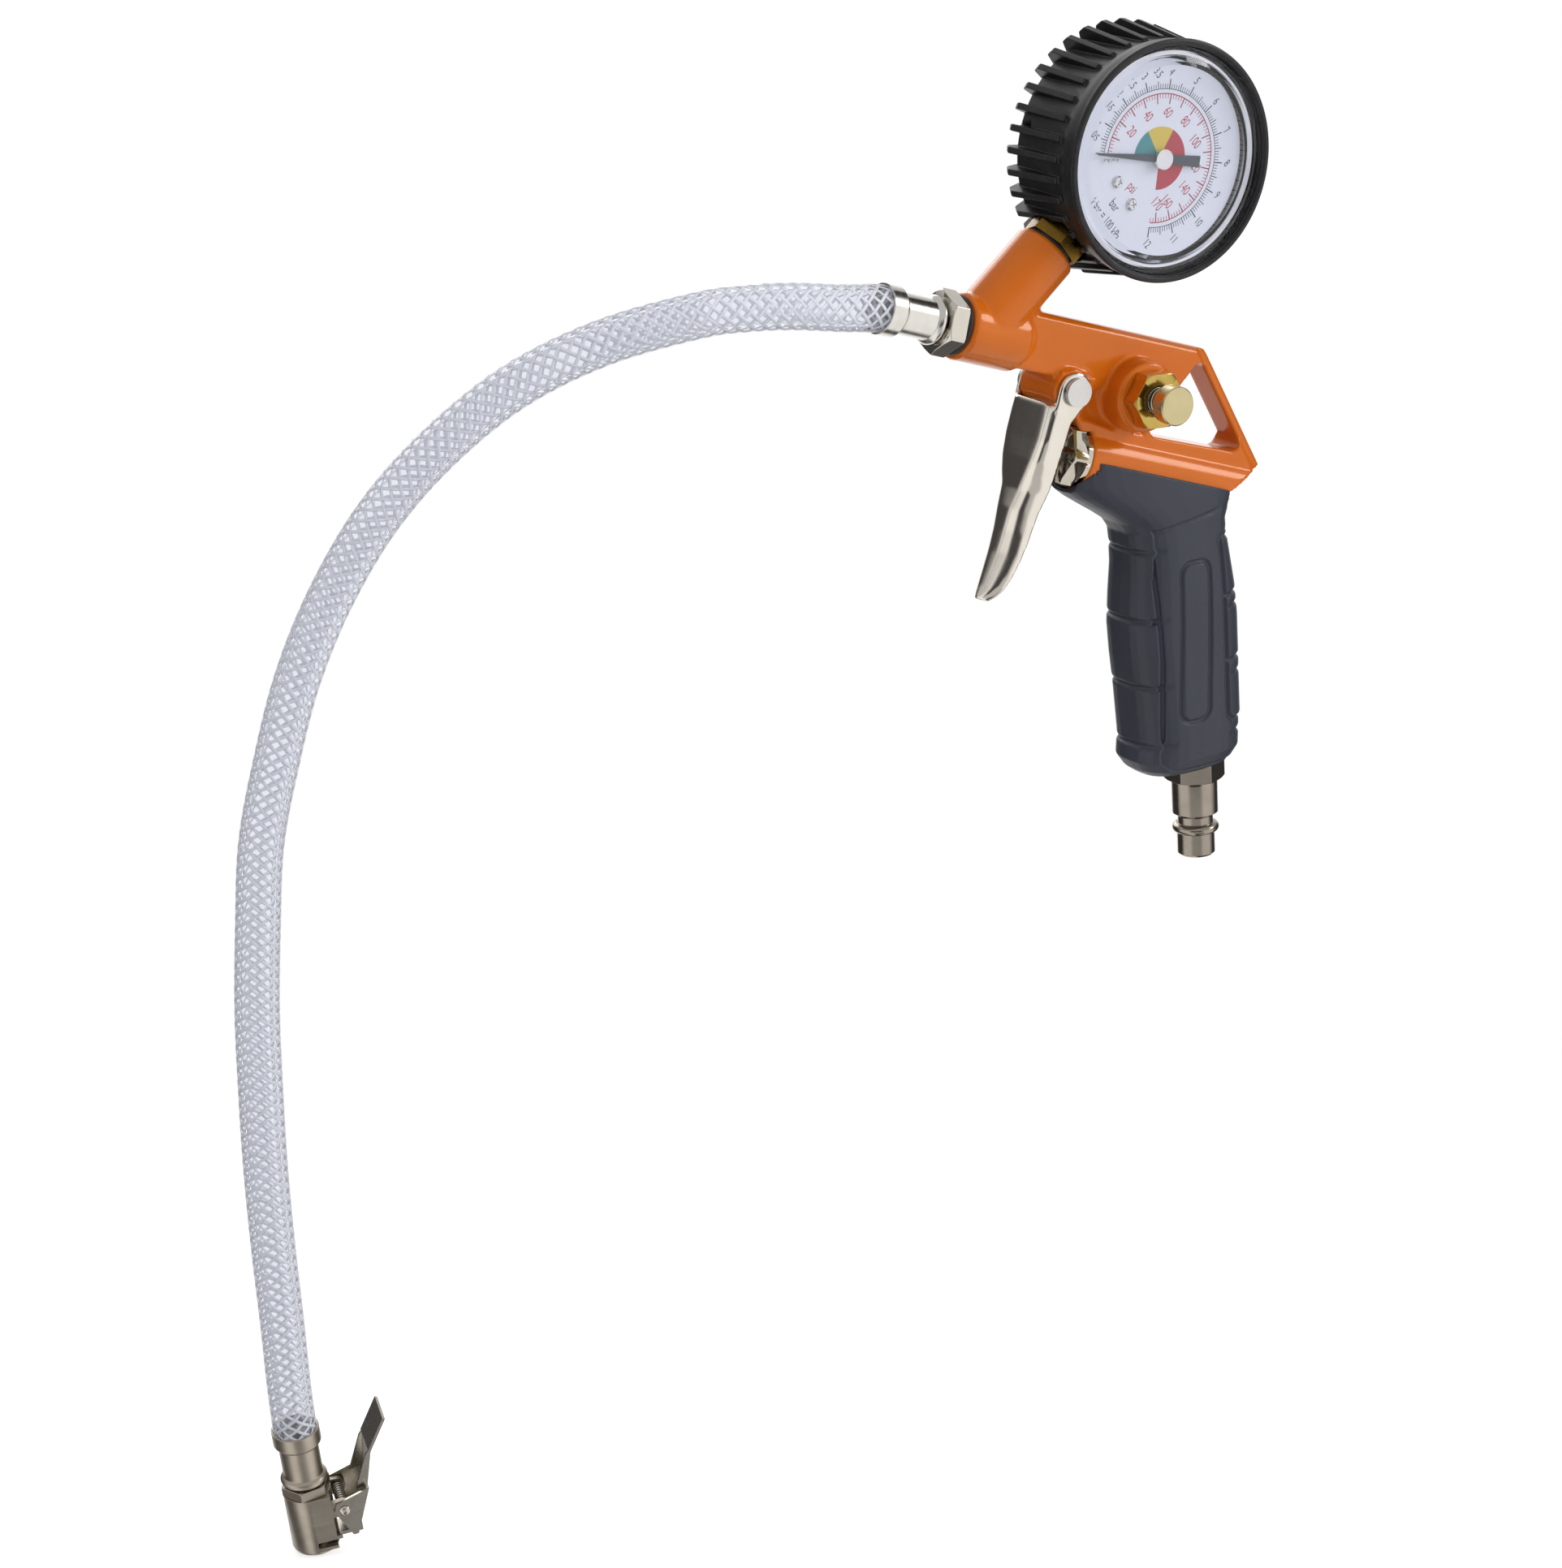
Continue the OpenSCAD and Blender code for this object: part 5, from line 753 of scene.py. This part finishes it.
STRANDS = 8
STRAND_WIDTH = 0.86 * MM
STRAND_THICK = 0.24 * MM
BRAID_PITCH = 28.5 * MM
BRAID_R = 5.2 * MM
CRIMPED_BRAID_R = 4.5 * MM
WEAVE = 0.16 * MM
# outline of a strand: across it and through it, each from -1 to 1
STRAND_OUTLINE = ((-1, 0), (-0.6, 1), (0.6, 1), (1, 0), (0.6, -1), (-0.6, -1))


def braid_mesh():
    """Two crossing families of flat yarns that pass over and under each other in the hose's wall."""
    u, v = carried_frames(hose_path)
    rows, sides = len(hose_path), len(STRAND_OUTLINE)
    points, faces = [], []
    for hand in (1, -1):
        for strand in range(STRANDS):
            phase = 2 * math.pi * strand / STRANDS
            angle = hand * 2 * math.pi * hose_run / BRAID_PITCH + phase
            lift = WEAVE * hand * np.cos(angle * hand * STRANDS + phase * STRANDS)
            radius = hose_radius(BRAID_R, CRIMPED_BRAID_R) + lift
            radial = np.cos(angle)[:, None] * u + np.sin(angle)[:, None] * v
            centre = hose_path + radial * radius[:, None]
            tangent = np.gradient(centre, axis=0)
            wide = np.cross(tangent, radial)
            wide /= np.linalg.norm(wide, axis=1)[:, None]
            ring = [centre + wide * w * STRAND_WIDTH / 2 + radial * t * STRAND_THICK / 2
                    for w, t in STRAND_OUTLINE]
            start = sum(len(p) for p in points)
            points.append(np.stack(ring, 1).reshape(-1, 3))
            faces += wall_faces(rows, sides, start)
            end = start + (rows - 1) * sides
            faces += [tuple(range(start, start + sides)), tuple(range(end, end + sides))]
    return shaded_mesh("hose_braid", np.vstack(points), faces)


braid = piece_from("hose_braid", braid_mesh(), yarn_white, "gun")


# ---------------------------------------------------------------- springs
# radius of the coil's middle line, wire, turns, and its lower and upper end on the frame's Z, in mm
VALVE_COIL = (3.7, 0.8, 8, 21.2, 41.4)
BLEED_COIL = (3.35, 0.7, 4, 13.6, 20.4)
CLIP_COIL = (1.325, 0.55, 8, -4.5, 4.5)
STEPS_PER_TURN = 30
WIRE_SIDES = 12


def spring(name, place, radius, wire, turns, low, high):
    """Round-wire spring between two heights on a frame's Z, in mm, its wire swept along the helix."""
    steps = int(turns * STEPS_PER_TURN)
    run = np.linspace(0, 1, steps + 1)
    angle = 2 * math.pi * turns * run
    height = low + wire / 2 + (high - low - wire) * run
    local = np.stack([radius * np.cos(angle), radius * np.sin(angle), height], 1) * MM
    path = np.array([tuple(place @ Vector(p)) for p in local])
    coil = tube_mesh(name, path, np.full(len(path), wire / 2 * MM), WIRE_SIDES)
    return piece_from(name + "_coil", coil, spring_steel, "gun", name)


valve_coil = spring("valve_spring", valve, *VALVE_COIL)
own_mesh(valve_coil)
bleed_coil = spring("bleed_spring", bleed, *BLEED_COIL)
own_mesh(bleed_coil)
clip_coil = spring("clip_spring", rivet, *CLIP_COIL)

# ---------------------------------------------------------------- dial print
# lean of the words, angle of the scale's zero and angle of one bar, in degrees
DIAL_TURN = -3.0
ZERO_ANGLE = 220.0
PER_BAR = 22.5
BAR_PER_PSI = 0.068948
DIAL_FACE = -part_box("gauge_dial")[0].y / MM
# how high the ink stands on the dial, and the coloured slices under it
INK_MM = 0.03
SLICE_INK_MM = INK_MM * 0.6


def scale_angle(bar):
    """Angle of a pressure on the dial."""
    return ZERO_ANGLE - PER_BAR * bar


def on_dial(radius, degrees, lift=INK_MM):
    """Point of the print, in the dial's frame."""
    a = math.radians(degrees)
    return (radius * math.cos(a), radius * math.sin(a), DIAL_FACE + lift)


def tick(inner, outer, degrees, width):
    """Corners of a radial line on the dial."""
    half = math.degrees(width / 2 / inner), math.degrees(width / 2 / outer)
    return [on_dial(inner, degrees - half[0]), on_dial(outer, degrees - half[1]),
            on_dial(outer, degrees + half[1]), on_dial(inner, degrees + half[0])]


# degrees that one straight side of a line, and of a slice, covers
ARC_STEP, SLICE_STEP = 1.5, 3


def arc(radius, first, last, width):
    """Short pieces of a line that runs round the dial."""
    steps = np.linspace(first, last, max(2, int(abs(last - first) / ARC_STEP)) + 1)
    return [[on_dial(radius - width / 2, b), on_dial(radius - width / 2, a), on_dial(radius + width / 2, a),
             on_dial(radius + width / 2, b)] for a, b in zip(steps, steps[1:])]


def sector(radius, first, last):
    """Coloured slice of the dial's middle, a little under the other ink."""
    steps = np.linspace(first, last, max(2, int(abs(last - first) / SLICE_STEP)) + 1)
    return [[(0, 0, DIAL_FACE + SLICE_INK_MM)] + [on_dial(radius, a, SLICE_INK_MM) for a in steps]]


# height of a capital letter against the size of its type
CAPITAL = 0.7


def word_mesh(text, radius, degrees, height, squeeze):
    """Flat lettering, upright on the dial, about a point given by radius and angle."""
    curve = bpy.data.curves.new("word", "FONT")
    curve.body = text
    curve.size = height / CAPITAL
    curve.align_x = "CENTER"
    curve.align_y = "CENTER"
    curve.resolution_u = 3
    holder = bpy.data.objects.new("word", curve)
    bpy.context.scene.collection.objects.link(holder)
    word = applied(holder)
    bpy.data.objects.remove(holder)
    word.transform(Matrix.Translation(on_dial(radius, degrees)) @ turned("Z", DIAL_TURN)
                   @ Matrix.Diagonal((squeeze, 1, 1, 1)))
    return word


def print_on_dial(name, finish, patches, words=()):
    """Ink of one colour as a thin mesh on the dial."""
    points = [corner for patch in patches for corner in patch]
    faces = []
    for patch in patches:
        start = faces[-1][-1] + 1 if faces else 0
        faces.append(tuple(range(start, start + len(patch))))
    mesh = bpy.data.meshes.new(name)
    mesh.from_pydata(points, [], faces)
    shape = bmesh.new()
    shape.from_mesh(mesh)
    for word in words:
        lettering = word_mesh(*word)
        shape.from_mesh(lettering)
        bpy.data.meshes.remove(lettering)
    for face in shape.faces:
        face.normal_update()
        if face.normal.z < 0:
            face.normal_flip()
    shape.to_mesh(mesh)
    shape.free()
    mesh.transform(dial @ Matrix.Scale(MM, 4))
    piece_from(name, mesh, finish, "gun")


BAR_R = 17.7
# ticks: how many, how many to a bar, how far out they reach, and their width
BAR_LINES = ((121, 10, 19.0, 0.17), (25, 2, 19.7, 0.22), (13, 1, 20.3, 0.3))
BAR_NUMBERS = (0.5, 1, 1.5, 2, 2.5, 3, 3.5, 4, 5, 6, 7, 8, 9, 10, 11, 12)
bar_patches = [tick(BAR_R, outer, scale_angle(i / per_bar), width)
               for count, per_bar, outer, width in BAR_LINES for i in range(count)]
bar_patches += arc(BAR_R, scale_angle(0), scale_angle(12), 0.16)
# words: text, radius, angle, height and slimness
bar_words = [("%g" % v, 21.9, scale_angle(v), 2.3, 0.64) for v in BAR_NUMBERS]
bar_words += [("bar", 17.6, 266.6, 2.6, 0.64), ("1 bar = 100 kPa", 21.8, 268.5, 2.5, 0.6)]
print_on_dial("dial_bar_scale", ink_black, bar_patches, bar_words)

PSI_R = 16.5
# ticks of the inner scale: one past the last pressure, pressure from one to the next, how far in, and width
PSI_LINES = ((176, 2, 15.3, 0.17), (171, 10, 13.9, 0.32))
psi_patches = [tick(inner, PSI_R, scale_angle(p * BAR_PER_PSI), width)
               for end, step, inner, width in PSI_LINES for p in range(0, end, step)]
psi_patches += arc(PSI_R, scale_angle(0), scale_angle(174 * BAR_PER_PSI), 0.26)
psi_words = [("%d" % p, 11.7, scale_angle(p * BAR_PER_PSI), 2.7, 0.62)
             for p in (20, 40, 60, 80, 100, 120, 140, 160, 170)]
psi_words += [("psi", 10.8, 267.6, 2.7, 0.64)]
print_on_dial("dial_psi_scale", ink_red, psi_patches, psi_words)

SECTOR_R = 8.1
for ink, sector_name, first, last in ((ink_teal, "dial_teal_sector", 219.5, 166),
                                      (ink_yellow, "dial_yellow_sector", 166, 107),
                                      (ink_red, "dial_red_sector", 107, -48)):
    print_on_dial(sector_name, ink, sector(SECTOR_R, first, last))


# ---------------------------------------------------------------- floor, backdrop and lights
PANELS = 3.0
PANEL_TONE = (1.28, 1.26, 1.23, 1)
GAP_TONE = (0.08, 0.078, 0.08, 1)
APRON_TONE = (0.7, 0.69, 0.68, 1)
CEILING_TONE = (0.74, 0.73, 0.72, 1)
# how far the panels are turned round the tool, at their tops and at their feet
TOP_TURN = math.radians(27)
FEET_TURN = math.radians(49)


def surroundings(tree, way):
    """What bright metal mirrors, by direction: three tall pale panels, their feet shifted round, with dark
    gaps between them, a grey apron low in front and a pale ceiling."""
    parts = add(tree, "SeparateXYZ", {"Vector": way}).outputs
    forward = add(tree, "Math", {0: parts["Y"], 1: -1.0}, operation="MULTIPLY")
    azimuth = add(tree, "Math", {0: parts["X"], 1: forward.outputs["Value"]}, operation="ARCTAN2")
    feet = add(tree, "MapRange", {"Value": parts["Z"], "From Min": -0.3, "From Max": -0.7,
                                  "To Min": TOP_TURN, "To Max": FEET_TURN})
    round_by = add(tree, "Math", {0: azimuth.outputs["Value"], 1: feet.outputs["Result"]},
                   operation="SUBTRACT")
    count = add(tree, "Math", {0: round_by.outputs["Value"], 1: PANELS}, operation="MULTIPLY")
    wave = add(tree, "Math", {0: count.outputs["Value"]}, operation="COSINE")
    panels = add(tree, "MapRange", {"Value": wave.outputs["Value"], "From Min": -0.45, "From Max": 0.55},
                 interpolation_type="SMOOTHSTEP")
    above = add(tree, "MapRange", {"Value": parts["Z"], "From Min": -0.85, "From Max": -0.6},
                interpolation_type="SMOOTHSTEP")
    under = add(tree, "MapRange", {"Value": parts["Z"], "From Min": 0.0, "From Max": -0.12},
                interpolation_type="SMOOTHSTEP")
    before = add(tree, "MapRange", {"Value": parts["Y"], "From Min": -0.15, "From Max": -0.45},
                 interpolation_type="SMOOTHSTEP")
    band = add(tree, "Math", {0: above.outputs["Result"], 1: under.outputs["Result"]}, operation="MULTIPLY")
    apron = add(tree, "Math", {0: band.outputs["Value"], 1: before.outputs["Result"]}, operation="MULTIPLY")
    gaps = add(tree, "Mix", {"Factor": apron.outputs["Value"], COLOUR_A: GAP_TONE, COLOUR_B: APRON_TONE},
               data_type="RGBA")
    walls = add(tree, "Mix", {"Factor": panels.outputs["Result"], COLOUR_A: gaps.outputs[COLOUR_OUT],
                             COLOUR_B: PANEL_TONE}, data_type="RGBA")
    height = add(tree, "MapRange", {"Value": parts["Z"], "From Min": 0.15, "From Max": 0.5},
                 interpolation_type="SMOOTHSTEP")
    room = add(tree, "Mix", {"Factor": height.outputs["Result"], COLOUR_A: walls.outputs[COLOUR_OUT],
                             COLOUR_B: CEILING_TONE}, data_type="RGBA")
    return room.outputs[COLOUR_OUT]


FLOOR_MIDDLE = (-0.1, 0.05)
FLOOR_DROP = 0.5 * MM
FLOOR_R = 0.45
# distance from the middle at which the floor begins to fade into the white room
FLOOR_FADE = 0.28


def make_floor():
    """Plain pale paper floor that keeps the tool's shadow and fades into the white room."""
    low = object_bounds()[0]
    material = bpy.data.materials.new("studio_floor_paper")
    material.use_nodes = True
    tree = material.node_tree
    tree.nodes.clear()
    rays = add(tree, "LightPath").outputs
    spot = add(tree, "NewGeometry").outputs["Position"]
    paper = add(tree, "BsdfDiffuse", {"Color": (0.8, 0.8, 0.8, 1)})
    glow = add(tree, "Emission", {"Strength": 0.55})
    lit = add(tree, "AddShader", {0: paper.outputs["BSDF"], 1: glow.outputs["Emission"]})
    white = add(tree, "Emission", {"Strength": 1.0})
    middle = add(tree, "VectorMath", {0: spot, 1: (*FLOOR_MIDDLE, low.z)}, operation="DISTANCE")
    edge = add(tree, "MapRange", {"Value": middle.outputs["Value"], "From Min": FLOOR_FADE,
                                  "From Max": FLOOR_R}, interpolation_type="SMOOTHSTEP")
    faded = add(tree, "MixShader", {0: edge.outputs["Result"], 1: lit.outputs["Shader"],
                                    2: white.outputs["Emission"]})
    plain = add(tree, "MixShader", {0: rays["Is Camera Ray"], 1: paper.outputs["BSDF"],
                                    2: faded.outputs["Shader"]})
    add(tree, "OutputMaterial", {"Surface": plain.outputs["Shader"]})
    x, y = FLOOR_MIDDLE
    corners = [(x + FLOOR_R * math.cos(a), y + FLOOR_R * math.sin(a), low.z - FLOOR_DROP)
               for a in np.linspace(0, 2 * math.pi, 96, endpoint=False)]
    mesh = bpy.data.meshes.new("floor")
    mesh.from_pydata(corners, [], [tuple(range(len(corners)))])
    mesh.materials.append(material)
    floor = bpy.data.objects.new("floor", mesh)
    bpy.context.scene.collection.objects.link(floor)
    floor.visible_glossy = False
    floor.visible_transmission = False


def make_room():
    """White room, seen straight or through clear plastic, that mirrors as panels in bright metal and gives
    everything else a soft even light."""
    world = bpy.data.worlds.new("studio")
    bpy.context.scene.world = world
    world.use_nodes = True
    tree = world.node_tree
    tree.nodes.clear()
    rays = add(tree, "LightPath").outputs
    way = add(tree, "TexCoord").outputs["Generated"]
    mirrored = add(tree, "Background", {"Color": surroundings(tree, way)})
    ambient = add(tree, "Background", {"Color": (0.97, 0.98, 1, 1), "Strength": 0.32})
    white = add(tree, "Background", {"Color": (1, 1, 1, 1)})
    bounced = add(tree, "Math", {0: rays["Glossy Depth"], 1: 0.5}, operation="GREATER_THAN")
    inner = add(tree, "MixShader", {0: bounced.outputs["Value"], 1: ambient.outputs["Background"],
                                    2: mirrored.outputs["Background"]})
    depth = add(tree, "Math", {0: rays["Glossy Depth"], 1: rays["Diffuse Depth"]})
    straight = add(tree, "Math", {0: depth.outputs["Value"], 1: 0.5}, operation="LESS_THAN")
    seen = add(tree, "Math", {0: rays["Is Camera Ray"], 1: rays["Is Transmission Ray"]}, operation="MAXIMUM")
    direct = add(tree, "Math", {0: seen.outputs["Value"], 1: straight.outputs["Value"]}, operation="MULTIPLY")
    outer = add(tree, "MixShader", {0: direct.outputs["Value"], 1: inner.outputs["Shader"],
                                    2: white.outputs["Background"]})
    add(tree, "OutputWorld", {"Surface": outer.outputs["Shader"]})


# point that the lamps face
CENTRE = Vector((-0.06, 0.03, 0.06))
# name, place, width, height and watts of each softbox, and whether bright metal mirrors it
SOFTBOXES = (
    ("softbox_left", (-1.5, 0.1, 0.55), 0.9, 1.3, 4.5, False),
    ("fill_right", (0.95, -1.2, 0.35), 0.5, 1.4, 11, False),
    ("strip_right", (1.1, -0.7, 0.66), 0.5, 0.34, 4.2, True),
    ("softbox_top", (-0.1, -0.1, 1.5), 1.3, 1.0, 5, False),
    ("fill_front", (-0.7, -1.5, 0.5), 0.8, 0.8, 7.5, False),
    ("softbox_back", (0.2, 1.4, 0.7), 1.2, 0.8, 6, True),
)


def soft_light(name, place, width, height, watts, mirrored):
    """Studio softbox that faces the tool. None lights it again through clear plastic."""
    data = bpy.data.lights.new(name, "AREA")
    data.shape = "RECTANGLE"
    data.size, data.size_y = width, height
    data.energy = watts
    lamp = bpy.data.objects.new(name, data)
    bpy.context.scene.collection.objects.link(lamp)
    way = CENTRE - Vector(place)
    lamp.matrix_world = Matrix.Translation(place) @ way.to_track_quat("-Z", "Y").to_matrix().to_4x4()
    lamp.visible_glossy = mirrored
    lamp.visible_transmission = False


make_floor()
make_room()
for softbox in SOFTBOXES:
    soft_light(*softbox)

bpy.context.scene.view_settings.view_transform = "Standard"
